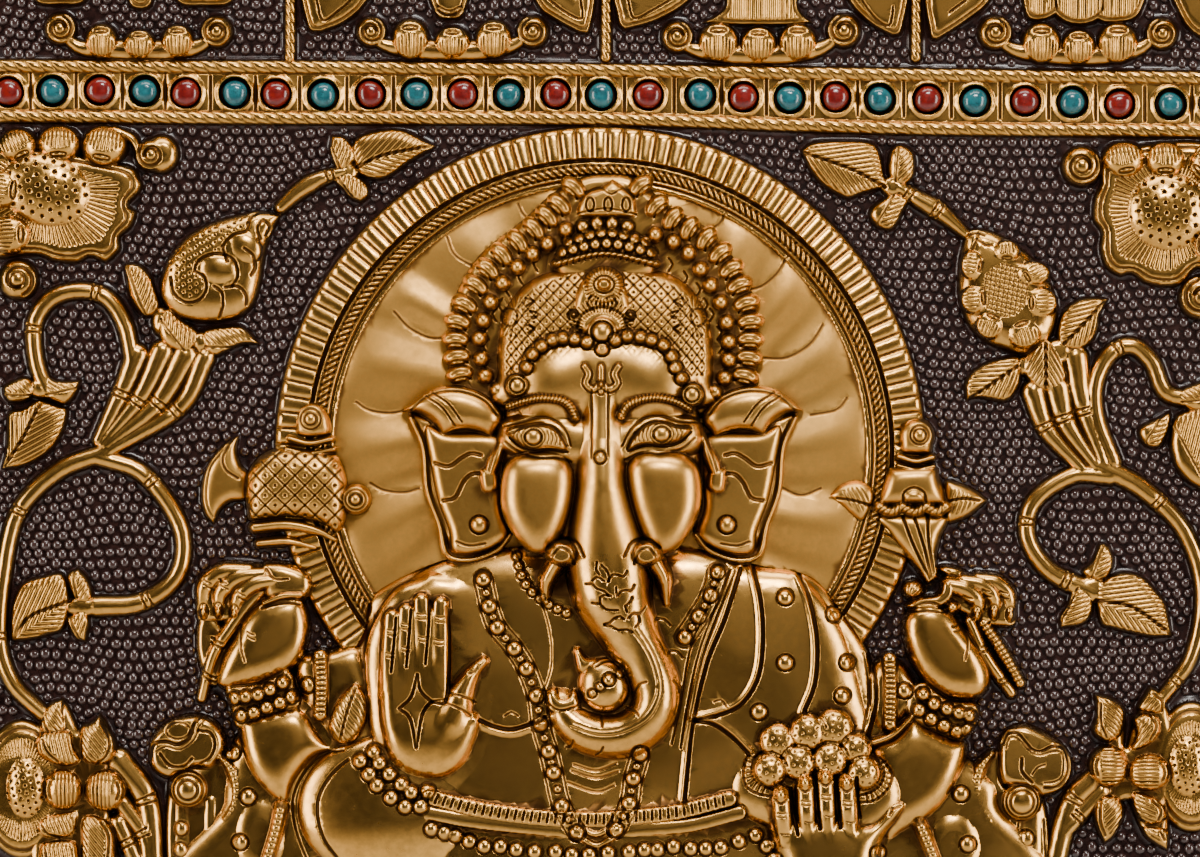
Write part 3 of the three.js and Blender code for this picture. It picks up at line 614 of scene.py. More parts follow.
RAYS = [
    [(448, 238), (455, 255), (470, 265), (480, 268)],
    [(395, 312), (410, 328), (430, 338), (448, 338)],
    [(357, 402), (370, 410), (390, 413), (408, 410)],
    [(371, 483), (385, 490), (405, 492), (420, 488)],
    [(519, 205), (523, 214), (530, 221)],
    [(725, 214), (718, 225), (704, 232)],
    [(786, 258), (775, 275), (760, 287), (747, 290)],
    [(822, 325), (808, 345), (785, 358), (760, 358)],
    [(846, 398), (835, 410), (810, 415)],
    [(780, 487), (800, 495), (820, 488)],
]

# Directions between which the disc is beaten up, in degrees.
PILLOWS = [-132, -108, -85, -62, -46, -30, -12.4, 9.3, 30, 50, 90, 130, 152, 172.3, 192, 214.3, 228]


def halo():
    window = Window(oval_points(*HALO_CENTRE, RIM, RIM), margin=6)
    dx, dy = window.x - HALO_CENTRE[0], window.y - HALO_CENTRE[1]
    away = np.hypot(dx, dy)
    turn = np.arctan2(dy, dx) / (2 * np.pi)
    off = np.abs((turn * FLUTES + 0.5) % 1 - 0.5) * 2
    half_width = 2 * np.pi * away / FLUTES / 2
    flute = np.sqrt(np.clip(1 - off ** 2, 0, 1))
    # Each flute is rounded across, and its outer end is a half round too.
    end = np.sqrt(np.clip(1 - np.clip((away - RIM + half_width) / half_width, 0, 1) ** 2, 0, 1))
    fall = np.clip((away - RING_OUTER) / (RIM - RING_OUTER), 0, 1)
    surface = HALO_FLUTE - 0.9 - 1.9 * fall + 1.6 * flute ** 0.85
    surface = GROUND + (surface - GROUND) * (0.35 + 0.65 * end)
    inner = smooth_step((away - RING_OUTER) / 3)
    surface = HALO_VALLEY + (surface - HALO_VALLEY) * inner
    lift(window, np.where(away > RING_OUTER, RIM - away, OUTSIDE), surface)
    # The notches between the flutes are painted dark: painted shadow, with patina.
    notch = np.clip((off - 0.78) / 0.22, 0, 1) * (away > RING_OUTER + 1) * (away < RIM)
    worked_patina_and_shade[window.index] = np.maximum(worked_patina_and_shade[window.index], 0.9 * notch)
    middle = (RING_INNER + RING_OUTER) / 2
    ring = HALO_ROPE - 0.9 * np.clip((np.abs(away - middle) - 5) / 5, 0, 1) ** 2
    ring = ring + 0.9 * np.sqrt(np.clip(1 - ((away - middle) / 5.2) ** 2, 0, 1)) - 0.5
    lift(window, np.where(away > DISC_EDGE, RING_OUTER + 0.5 - away, OUTSIDE), ring)
    cords = lines(turn * CORDS + 0.12 * (away - middle), 1, 0.34) * (np.abs(away - middle) < 5.2)
    engrave(window, cords, 0.85, 0.85)
    for radius in (RING_OUTER - 1, RING_OUTER - 5, RING_INNER + 5, RING_INNER + 0.5):
        edge = np.clip(1 - ((away - radius) / 1.7) ** 2, 0, 1)
        engrave(window, edge, 0.5, 0.8)
    # The disc is beaten in pillows between its rays.
    degrees = turn * 360 + 0.05 * (away - 200)
    swell = 0 * away
    for low, high in zip(PILLOWS, PILLOWS[1:]):
        t = ((degrees - low) % 360) / (high - low)
        swell = np.where(t < 1, 0.5 - 0.5 * np.cos(2 * np.pi * t), swell)
    rim_of = rounded((DISC_EDGE + 2 - away) / 46)
    slope = HALO_DISC - 0.3 + 0.8 * rim_of + 1.7 * swell * rim_of * np.clip(away / 200, 0, 1)
    lift(window, DISC_EDGE + 2 - away, np.where(away < DISC_EDGE + 2, slope, 0))
    satin[window.index] = np.maximum(satin[window.index], (away < DISC_EDGE) * 1.0)
    for ray in RAYS:
        groove(ray, 2.4, 0.45, dark=0.7)


def rosettes():
    left_back = [
        (-20, 150), (118, 163), (142, 180), (142, 192), (131, 205), (138, 213), (133, 228), (122, 238),
        (122, 250), (108, 263), (92, 258), (78, 264), (55, 262), (38, 256), (-20, 250),
    ]
    right_back = [
        (1220, 150), (1110, 152), (1098, 185), (1092, 200), (1091, 220), (1099, 233), (1098, 250),
        (1104, 268), (1118, 277), (1130, 275), (1143, 284), (1162, 288), (1180, 285), (1195, 270),
        (1220, 262),
    ]
    for outline, centre in ((left_back, (48, 190)), (right_back, (1168, 210))):
        window, reach = boss(outline, GROUND, 8.4, edge=13)
        fan(window, reach, centre, 76, 0.9, inset=14)
        engrave(window, np.clip(1 - ((reach - 7) / 1.8) ** 2, 0, 1), 0.6, 0.8)
    hearts = [(48, 190, 49, 39, 0.3), (1166, 212, 44, 42, 0.2)]
    for x, y, rx, ry, turn in hearts:
        window, reach = oval(x, y, rx, ry, GROUND + 1, 12.4, power=0.9, turn=turn)
        dots(window, reach, 10.5, 2.6, 1.0, inset=5, turn=0.4)
    petals = [
        (20, 147, 21, 18, 1.1), (61, 145, 23, 19, 1.57), (106, 147, 24, 21, 1.75),
        (4, 190, 23, 22, 0.1), (12, 235, 24, 21, 0.0), (1122, 161, 23, 19, 1.4),
        (1163, 161, 22, 19, 1.57), (1204, 165, 19, 21, 2.4), (1208, 205, 16, 14, 3.1),
        (1208, 246, 18, 22, 3.1),
    ]
    for x, y, rx, ry, heading in petals:
        petal(x, y, rx, ry, 11.4, heading, pitch=4.2)
    tube([(116, 130), (134, 140), (142, 158)], [8, 12, 8], GROUND, 8.0)
    oval(163, 155, 18, 20, GROUND, 8.6, edge=12)
    curl(153, 156, 17, GROUND, 9.2, -1, start=3.9)
    curl(20, 280, 21, GROUND, 9.2, -1, start=1.2, turns=1.0)
    curl(1080, 167, 21, GROUND, 9.2, 1, start=-0.6)
    curl(1199, 298, 23, GROUND, 9.4, -1, start=-1.8)


# Outline and vein of each leaf. A small leaf, of up to SMALL_LEAF points, is hatched on one side only.
SMALL_LEAF = 9
LEAVES = [
    (
        [
            (355, 165), (352, 150), (358, 138), (380, 131), (405, 131), (437, 147, 1), (425, 155),
            (408, 165), (395, 175), (380, 181), (362, 177),
        ],
        [(358, 168), (385, 156), (432, 147)],
    ),
    (
        [
            (332, 136, 1), (345, 137), (353, 145), (358, 158), (350, 170), (340, 172), (334, 165),
            (330, 150),
        ],
        [(334, 140), (346, 168)],
    ),
    (
        [
            (345, 172), (358, 176), (369, 185), (370, 197), (362, 204, 1), (352, 200), (343, 190),
            (335, 182),
        ],
        [(343, 176), (361, 201)],
    ),
    (
        [
            (800, 151, 1), (812, 143), (840, 141), (870, 143), (880, 155), (884, 175), (888, 185),
            (880, 190), (862, 195), (848, 200), (835, 195), (820, 185), (808, 170),
        ],
        [(804, 154), (850, 170), (884, 188)],
    ),
    (
        [
            (887, 160), (890, 150), (900, 145), (912, 152), (915, 165), (912, 180), (900, 187),
            (890, 182), (886, 172),
        ],
        [(902, 148), (899, 186)],
    ),
    (
        [
            (880, 200), (870, 208), (868, 218), (876, 228), (888, 232), (896, 226), (903, 212),
            (908, 200), (895, 193),
        ],
        [(898, 196), (880, 228)],
    ),
    (
        [
            (126, 265), (140, 264), (152, 275), (158, 290), (162, 308), (150, 318), (138, 310),
            (130, 295), (127, 280),
        ],
        [(134, 267), (152, 314)],
    ),
    (
        [(162, 312), (172, 308), (182, 318), (200, 332), (195, 350), (182, 353), (165, 345), (158, 330)],
        [(165, 315), (190, 348)],
    ),
    (
        [
            (205, 330), (225, 326), (245, 327), (262, 345, 1), (245, 345), (232, 350), (218, 357),
            (207, 352), (203, 342),
        ],
        [(207, 342), (258, 344)],
    ),
    (
        [
            (1040, 341), (1050, 340), (1058, 352), (1064, 365), (1066, 378), (1060, 388), (1045, 392),
            (1030, 385), (1021, 372), (1022, 357),
        ],
        [(1044, 344), (1044, 388)],
    ),
    (
        [
            (1018, 357), (1000, 358), (985, 362), (970, 372), (963, 385), (965, 402, 1), (975, 398),
            (988, 400), (1005, 402), (1015, 392), (1020, 378),
        ],
        [(1016, 366), (968, 399)],
    ),
    (
        [
            (1107, 299, 1), (1090, 297), (1075, 300), (1062, 310), (1056, 325), (1055, 338),
            (1060, 347), (1075, 351), (1088, 345), (1097, 330), (1099, 315),
        ],
        [(1103, 302), (1062, 344)],
    ),
    ([(4, 388), (15, 380), (30, 377), (38, 390), (27, 402), (10, 402)], [(6, 390), (35, 391)]),
    (
        [(48, 376), (60, 380), (83, 380, 1), (78, 395), (68, 405), (58, 403), (45, 395)],
        [(48, 390), (80, 383)],
    ),
    (
        [
            (40, 400), (60, 405), (70, 410), (66, 430), (55, 448), (40, 460), (20, 468), (3, 469, 1),
            (7, 450), (8, 430), (10, 412), (25, 408),
        ],
        [(6, 466), (24, 440), (42, 404)],
    ),
    ([(1172, 396), (1190, 384), (1220, 378), (1220, 412), (1190, 412)], [(1176, 398), (1210, 394)]),
    (
        [
            (1168, 412), (1155, 418), (1140, 425), (1136, 435), (1145, 447), (1157, 448), (1163, 440),
            (1169, 425),
        ],
        [(1166, 414), (1148, 444)],
    ),
    (
        [
            (1172, 418), (1168, 435), (1168, 450), (1175, 470), (1192, 486), (1220, 494), (1220, 405),
            (1185, 410),
        ],
        [(1172, 416), (1190, 450), (1212, 490)],
    ),
    (
        [
            (65, 573), (45, 575), (25, 582), (15, 600), (12, 620), (13, 641, 1), (30, 640), (50, 635),
            (66, 628), (72, 600),
        ],
        [(14, 640), (32, 616), (72, 600)],
    ),
    ([(68, 575), (80, 567, 1), (90, 578), (95, 595), (88, 603), (75, 597)], [(80, 570), (84, 600)]),
    ([(68, 618), (85, 609), (92, 620), (88, 642, 1), (76, 637)], [(76, 614), (87, 640)]),
    (
        [
            (1093, 590), (1100, 580), (1120, 571), (1140, 575), (1155, 590), (1165, 605),
            (1171, 636, 1), (1150, 637), (1130, 633), (1110, 628), (1098, 622),
        ],
        [(1094, 600), (1130, 606), (1170, 634)],
    ),
    (
        [
            (1098, 543), (1108, 545, 1), (1113, 560), (1108, 575), (1098, 581), (1086, 578),
            (1080, 570), (1090, 560),
        ],
        [(1106, 547), (1094, 580)],
    ),
    (
        [
            (1072, 585), (1085, 588), (1092, 600), (1090, 615), (1080, 625), (1058, 628, 1),
            (1058, 616), (1066, 603),
        ],
        [(1080, 590), (1062, 625)],
    ),
]


def leaves():
    for outline, vein in LEAVES:
        window, reach = boss(outline, GROUND, 9.0, edge=12, power=0.8)
        (x0, y0), (x1, y1) = vein[0], vein[-1]
        heading = np.arctan2(y1 - y0, x1 - x0)
        side = (window.x - x0) * (y1 - y0) - (window.y - y0) * (x1 - x0)
        if len(outline) > SMALL_LEAF:
            hatch(window, reach, heading + 0.55, 4.6, 0.9, inset=3, where=(side < 0) * 1.0)
            hatch(window, reach, heading - 0.55, 4.6, 0.9, inset=3, where=(side > 0) * 1.0)
            groove(vein, 2.4, 0.9)
            continue
        belly = side / np.hypot(x1 - x0, y1 - y0)
        hatch(window, reach, heading + 0.75, 4.4, 0.9, inset=3, where=smooth_step((belly + 4) / 2))
        engrave(window, np.clip(1 - ((belly + 5) / 1.6) ** 2, 0, 1) * (reach > 2), 0.5, 0.8)


# Where stems and leaves grow together: middle and half widths.
JOINTS = [
    (347, 173, 14, 12), (893, 187, 14, 12), (85, 606, 24, 11), (44, 388, 15, 12), (1090, 586, 18, 12),
    (1188, 398, 14, 10), (164, 322, 12, 16), (202, 342, 10, 12), (1056, 352, 16, 14),
    (1026, 366, 12, 12),
]

# Path, width along it, and the bands across it, as shares of its length.
VINES = [
    ([(345, 172), (320, 180), (300, 192), (282, 208)], [10, 16, 12], [0.2]),
    ([(898, 188), (918, 200), (940, 213), (964, 234)], [12, 17, 10], [0.15, 0.55]),
    ([(138, 355), (124, 390), (100, 440)], [20, 12], [0.45]),
    ([(163, 352), (142, 396), (104, 444)], [20, 12], [0.5]),
    ([(186, 356), (158, 404), (108, 446)], [22, 12], [0.45]),
    ([(206, 358), (180, 408), (112, 450)], [18, 12], [0.45]),
    (
        [(134, 360), (126, 325), (108, 298), (80, 291), (52, 300), (36, 325), (38, 362), (48, 390)],
        15,
        [0.36, 0.72],
    ),
    (
        [(108, 452), (60, 471), (20, 512), (5, 575), (1, 640), (15, 683), (44, 712)],
        [16, 15, 15, 14],
        [0.33, 0.72],
    ),
    (
        [(98, 456), (146, 475), (182, 528), (178, 575), (142, 602), (98, 606)],
        [16, 15, 15, 18],
        [0.24, 0.8],
    ),
    ([(1032, 392), (1046, 430), (1080, 468)], [20, 12], [0.4]),
    ([(1056, 388), (1066, 425), (1094, 466)], [22, 12], [0.35]),
    ([(1074, 358), (1082, 405), (1102, 462)], [22, 12], [0.5]),
    (
        [
            (1112, 462), (1096, 420), (1094, 385), (1108, 355), (1130, 346), (1150, 362), (1164, 392),
            (1192, 400),
        ],
        15,
        [0.55],
    ),
    (
        [(1108, 476), (1072, 475), (1034, 500), (1026, 535), (1048, 570), (1092, 592)],
        [16, 15, 15, 18],
        [0.5, 0.86],
    ),
    (
        [(1098, 466), (1140, 488), (1182, 530), (1201, 590), (1190, 655), (1160, 698)],
        [18, 15, 14, 12],
        [0.24, 0.92],
    ),
    ([(120, 760), (148, 800), (156, 870)], [22, 16], [0.4]),
    ([(122, 800), (146, 836), (150, 870)], [16, 14], [0.5]),
    ([(120, 822), (142, 870)], [16, 14], [0.4]),
    ([(1096, 776), (1070, 804), (1052, 870)], [20, 18], [0.3]),
    ([(1100, 790), (1080, 812), (1062, 832)], [16, 14], [0.6]),
]


def vines():
    for x, y, rx, ry in JOINTS:
        oval(x, y, rx, ry, GROUND, 7.6, edge=9)
    for points, widths, bands in VINES:
        wider = np.array(widths) * 1.3
        window, across, run, length, half = tube(points, wider, GROUND, 8.0)
        for share in bands:
            for shift in (-3.2, 3.2):
                off = np.abs(run - share * length + shift)
                engrave(window, np.clip(1 - (off / 1.5) ** 2, 0, 1) * (half > np.abs(across) + 2), 0.7)


# Outline of the plain metal behind the petals.
FLOWER_BACKS = [
    [
        (44, 712), (66, 700), (84, 730), (102, 714), (116, 740), (112, 764), (126, 790), (112, 806),
        (117, 835), (116, 880), (38, 880), (36, 820), (60, 790), (38, 750),
    ],
    [
        (1094, 700), (1122, 712), (1124, 745), (1132, 718), (1148, 690), (1166, 705), (1176, 760),
        (1168, 800), (1166, 845), (1140, 830), (1124, 800), (1102, 838), (1092, 806), (1104, 786),
        (1086, 766), (1104, 745),
    ],
]

# Outline, top, direction of its ridges, and a smooth crescent's line.
PETALS = [
    (
        [(42, 722), (46, 708), (54, 700), (66, 697, 1), (67, 712), (69, 728), (58, 735), (45, 732)],
        9.6,
        0.9,
        [(46, 722), (52, 732), (62, 734)],
    ),
    (
        [
            (37, 742), (42, 731), (58, 728), (74, 730), (77, 745), (84, 760), (70, 766), (52, 762),
            (40, 754),
        ],
        10.6,
        1.35,
        [(45, 738), (50, 750), (60, 760)],
    ),
    (
        [
            (82, 727), (93, 720), (102, 712, 1), (107, 723), (117, 737), (119, 750), (112, 762),
            (95, 764), (83, 757),
        ],
        10.6,
        0.9,
        [(104, 722), (112, 738), (109, 754), (100, 762)],
    ),
    (
        [(38, 826), (44, 815), (60, 810), (83, 806, 1), (81, 820), (76, 834), (60, 838), (44, 836)],
        9.8,
        1.2,
        [(44, 824), (50, 832), (62, 836)],
    ),
    (
        [(40, 862), (42, 843), (52, 838), (76, 838), (82, 850), (80, 880), (45, 880)],
        10.4,
        1.4,
        [(47, 846), (50, 858)],
    ),
    (
        [(84, 815), (100, 813), (113, 823), (118, 840), (116, 880), (86, 880), (82, 840)],
        10.4,
        0.9,
        [(104, 820), (111, 835), (110, 858)],
    ),
    (
        [
            (1092, 692, 1), (1094, 713), (1090, 727), (1095, 737), (1107, 742), (1117, 737),
            (1122, 727), (1124, 713), (1120, 703), (1107, 695),
        ],
        10.4,
        0.7,
        [(1098, 702), (1098, 720), (1104, 736)],
    ),
    (
        [(1148, 685, 1), (1140, 697), (1135, 708), (1147, 713), (1160, 713), (1165, 701), (1158, 690)],
        9.6,
        -0.9,
        [(1151, 692), (1160, 700), (1160, 710)],
    ),
    (
        [
            (1130, 718), (1133, 733), (1128, 750), (1147, 745), (1159, 731), (1157, 716), (1147, 711),
            (1137, 712),
        ],
        10.6,
        -0.9,
        [(1148, 714), (1154, 724), (1148, 738)],
    ),
    (
        [
            (1098, 795), (1092, 807), (1093, 823), (1102, 843, 1), (1113, 835), (1122, 817),
            (1122, 803), (1113, 793),
        ],
        10.4,
        -0.8,
        [(1098, 802), (1098, 820), (1103, 834)],
    ),
    (
        [(1130, 790), (1147, 792), (1162, 803), (1165, 817), (1153, 824), (1140, 821), (1130, 807)],
        10.6,
        0.4,
        [(1150, 798), (1158, 808), (1156, 818)],
    ),
    (
        [(1140, 824), (1157, 824), (1168, 830), (1166, 850, 1), (1153, 843), (1142, 834)],
        9.8,
        0.5,
        [(1158, 830), (1162, 838)],
    ),
]


def flowers():
    backs = ((24, 788, 44, 70, 1), (1190, 766, 40, 66, -1))
    for x, y, rx, ry, side in backs:
        window, reach = oval(x, y, rx, ry, GROUND, 8.0, edge=13)
        fan(window, reach, (x, y), 84, 0.9, inset=11, start=14)
        engrave(window, np.clip(1 - ((reach - 6) / 1.8) ** 2, 0, 1), 0.6, 0.8)
        window, reach = oval(x + side * 4, y - 2, 22, 34, GROUND + 1, 10.6, power=0.9)
        dots(window, reach, 7.6, 1.9, 0.8, inset=3, turn=0.3)
    for outline in FLOWER_BACKS:
        boss(outline, GROUND, 7.6, edge=10)
    for outline, top, angle, rim_line in PETALS:
        window, reach = boss(outline, GROUND, top, edge=11, power=0.8)
        inner = smooth_curve(rim_line)
        distance = along_path(inner, window)[0]
        hatch(window, reach, angle, 4.2, 0.85, inset=3, where=smooth_step((distance - 3) / 1.5))
        groove(rim_line, 1.8, 0.7)
    knobs = (
        (65, 788, 21, 22, -1), (107, 789, 22, 22, 1), (1107, 765, 21, 22, -1), (1147, 771, 23, 20, 1),
    )
    for x, y, rx, ry, side in knobs:
        window, reach = oval(x, y, rx, ry, GROUND, 11.8, power=0.75)
        box = smooth_step((rx * 0.55 - np.abs(window.x - x + side * rx * 0.15)) / 1.5)
        hatch(window, reach, np.pi / 2 if x < 600 else 0.0, 4.0, 0.85, inset=3, where=box)
        for end, middle, tall, width, depth in ((0.55, 0.66, 0.4, 1.6, 0.6), (0.8, 0.86, 0.3, 1.4, 0.5)):
            end_x, middle_x = x + side * rx * end, x + side * rx * middle
            groove([(end_x, y - ry * tall), (middle_x, y), (end_x, y + ry * tall)], width, depth)


def buds():
    left = [
        (283, 215, 1), (262, 211), (240, 215), (215, 222), (190, 235), (172, 255), (163, 275),
        (161, 295), (170, 310), (185, 320), (215, 323), (240, 318), (255, 305), (262, 285), (265, 265),
        (268, 250), (273, 235),
    ]
    window, reach = boss(left, GROUND, 11.0, power=0.75)
    spotted = smooth_curve([
        (172, 286), (168, 266), (181, 246), (206, 230), (236, 221), (255, 217), (249, 229), (231, 236),
        (225, 251), (204, 256), (198, 268), (206, 279), (205, 292), (194, 299), (181, 297),
    ], True)
    inside = reach_inside(spotted, window)
    dots(window, inside, 7.4, 1.8, 0.7, inset=1, turn=0.5)
    oval(246, 248, 19, 16, 8.5, 11.8, power=0.7, turn=0.7)
    oval(220, 270, 21, 17, 8.5, 12.2, power=0.7, turn=0.2)
    scrolls = (
        [
            (173, 280), (176, 294), (188, 303), (202, 300), (209, 288), (205, 276), (197, 272),
            (202, 260), (220, 254), (236, 261), (240, 276), (234, 287),
        ],
        [(230, 262), (225, 248), (234, 236), (249, 231), (252, 218), (266, 212), (279, 215)],
        [(246, 249), (255, 256), (257, 268), (253, 276)],
        [(262, 240), (259, 228), (265, 221), (272, 228), (268, 236)],
        [(216, 287), (224, 293), (225, 306), (221, 318)],
        [(227, 288), (240, 287), (248, 296), (248, 305)],
    )
    for line in scrolls:
        groove(line, 2.2, 0.8)
    right = [
        (967, 231), (985, 230), (1005, 238), (1025, 252), (1043, 272), (1053, 292), (1057, 310),
        (1054, 328), (1046, 342), (1035, 350), (1020, 355), (1003, 350), (985, 343), (970, 330),
        (961, 312), (957, 295), (957, 270), (960, 250),
    ]
    window, reach = boss(right, GROUND, 10.0, power=0.8)
    centre = np.clip(1 - np.hypot((window.x - 1003) / 24, (window.y - 291) / 27), 0, 1)
    for angle in (0.25, 1.7):
        hatch(window, reach, angle, 4.6, 0.5, where=(centre > 0) * 1.0)
    round_petals = [
        (971, 266, 13, 16, 0.2), (973, 300, 15, 15, -0.1), (988, 325, 15, 15, -1.2),
        (1022, 333, 18, 16, -1.9), (1038, 303, 18, 16, 3.1), (1031, 274, 18, 13, 2.6),
        (1005, 252, 14, 12, 1.6),
    ]
    for x, y, rx, ry, heading in round_petals:
        petal(x, y, rx, ry, 11.2, heading, foot=7)
    tip_strokes = (
        [(970, 250), (974, 242), (977, 234)],
        [(976, 240), (984, 246), (990, 246)],
        [(967, 236), (975, 233), (983, 236)],
    )
    for line in tip_strokes:
        groove(line, 1.8, 0.6)


def build_ornament():
    halo()
    rosettes()
    vines()
    leaves()
    flowers()
    buds()
    frieze()
    jewel_band()


def hooked_finger(path, widths, top, tip):
    """A finger bent in a wave, with its nail."""
    count = len(path)
    tube(path, widths, GROUND, [top - 0.4] + [top] * (count - 2) + [top - 1.4], power=0.7)
    oval(*tip, 4.6, 8, GROUND, top - 0.2, turn=0.1, power=0.8)
    groove(oval_points(tip[0], tip[1], 5, 8.4), 1.2, 0.5, closed=True)


def left_rear_hand():
    # The pot, with its spout, its neck and two bosses.
    spout = [
        (240, 435, 1), (222, 447), (210, 462), (203, 480), (202, 500), (206, 515), (215, 524, 1),
        (222, 510), (232, 502), (248, 498), (250, 475), (242, 464), (238, 450),
    ]
    boss(spout, GROUND, 8.6, power=0.8)
    spout_crease = [(229, 446), (224, 458), (228, 470), (240, 478)]
    groove(spout_crease, 2.2, 0.6)
    spout_rim = [(233, 441), (213, 464), (208, 484), (208, 502), (214, 516)]
    groove(spout_rim, 1.6, 0.35)
    lower_saucer = [(260, 543), (290, 541), (316, 547)]
    tube(lower_saucer, [11, 12, 8], GROUND, 9.2)
    upper_saucer = [(256, 527), (288, 524), (318, 530), (336, 539)]
    tube(upper_saucer, [14, 15, 14, 8], GROUND, 10.2, power=0.8)
    saucer_line = [(254, 522), (290, 519), (320, 525), (338, 536)]
    groove(saucer_line, 1.8, 0.6)
    pot = [
        (280, 447), (262, 455), (250, 470), (246, 490), (248, 510), (253, 521), (290, 518), (320, 524),
        (338, 534), (348, 520), (350, 490), (346, 466), (335, 452), (308, 446),
    ]
    window, reach = boss(pot, GROUND, 13.6, power=0.85)
    across, down = np.broadcast_arrays(window.x, window.y)
    net(window, across, down, 14, smooth_step((reach - 3) / 2), 0.55, 2.2)
    pot_collar = [(288, 449), (311, 453), (335, 449)]
    tube(pot_collar, 8, GROUND, 10.6, power=0.8)
    lid = [
        (295, 426), (300, 408), (312, 401), (325, 405), (333, 420), (331, 436), (310, 440), (297, 436),
    ]
    boss(lid, GROUND, 11.4, power=0.85)
    groove(oval_points(312, 419, 10.5, 10.5), 1.6, 0.6, closed=True)
    beads([(312, 419)], 6, 1.3)
    pot_neck = [(291, 438), (311, 443), (333, 439)]
    tube(pot_neck, 9, GROUND, 11.8, power=0.8)
    ring_boss(357, 499, 17, 10.5, 5.5, 12)
    # The hand behind, and the staff that it holds.
    finger_plate = [
        (268, 566), (240, 563), (214, 568), (200, 580), (197, 600), (199, 620), (214, 622), (240, 620),
        (262, 606),
    ]
    boss(finger_plate, GROUND, 8.6, edge=8)
    little_finger = [(250, 570), (224, 572), (207, 586), (204, 608)]
    hooked_finger(little_finger, [18, 22, 22, 15], 10.2, (205, 611))
    ring_finger = [(264, 573), (240, 577), (223, 591), (220, 608)]
    hooked_finger(ring_finger, [18, 22, 22, 15], 11.0, (220, 610))
    middle_finger = [(278, 579), (255, 584), (240, 597), (237, 610)]
    hooked_finger(middle_finger, [20, 22, 22, 15], 11.8, (236, 612))
    for x, y in ((209, 583), (225, 583), (243, 595)):
        ticks([(x, y - 2.5), (x + 1, y + 3)], 9, 0.5)
    thumb = [
        (262, 566), (272, 560), (292, 562), (312, 572), (315, 588), (306, 600), (284, 602), (266, 598),
    ]
    boss(thumb, GROUND, 11.2, power=0.85)
    thumb_crease = [(268, 568), (276, 578), (290, 578)]
    groove(thumb_crease, 1.8, 0.6)
    thumb_edge = [(300, 566), (311, 578), (312, 590), (304, 598)]
    groove(thumb_edge, 1.8, 0.6)
    oval(248, 566, 15, 4.5, GROUND, 8.6, turn=0.2)
    staff = [(262, 590), (250, 602), (232, 627), (215, 654), (203, 697)]
    tube(staff, [20, 18, 17, 15, 12], GROUND, [9.6, 10, 10, 8.8, 7], power=0.8)
    staff_plate = [(200, 618), (218, 616), (232, 650), (220, 684), (206, 678), (197, 648)]
    boss(staff_plate, GROUND, 7.6, edge=8)
    hand_back = [
        (262, 600), (285, 594), (303, 597), (312, 625), (305, 655), (288, 673), (257, 685), (230, 689),
        (217, 681), (223, 656), (235, 634), (246, 614),
    ]
    boss(hand_back, GROUND, 12.8, power=0.72)
    cuff = [(266, 602), (284, 595), (303, 594)]
    tube(cuff, [9, 12, 9], GROUND, 12, power=0.8)
    cuff_line = [(263, 607), (284, 602), (301, 603)]
    groove(cuff_line, 1.8, 0.7)
    hand_crease = [(242, 624), (243, 645), (247, 660)]
    groove(hand_crease, 2.0, 0.5)
    ticks([(253, 632), (254, 637)], 7, 0.4)
    for x, y in ((219, 642), (211, 676)):
        ticks([(x, y - 2.5), (x, y + 2.5)], 13, 0.5, 1.8, 0.7)


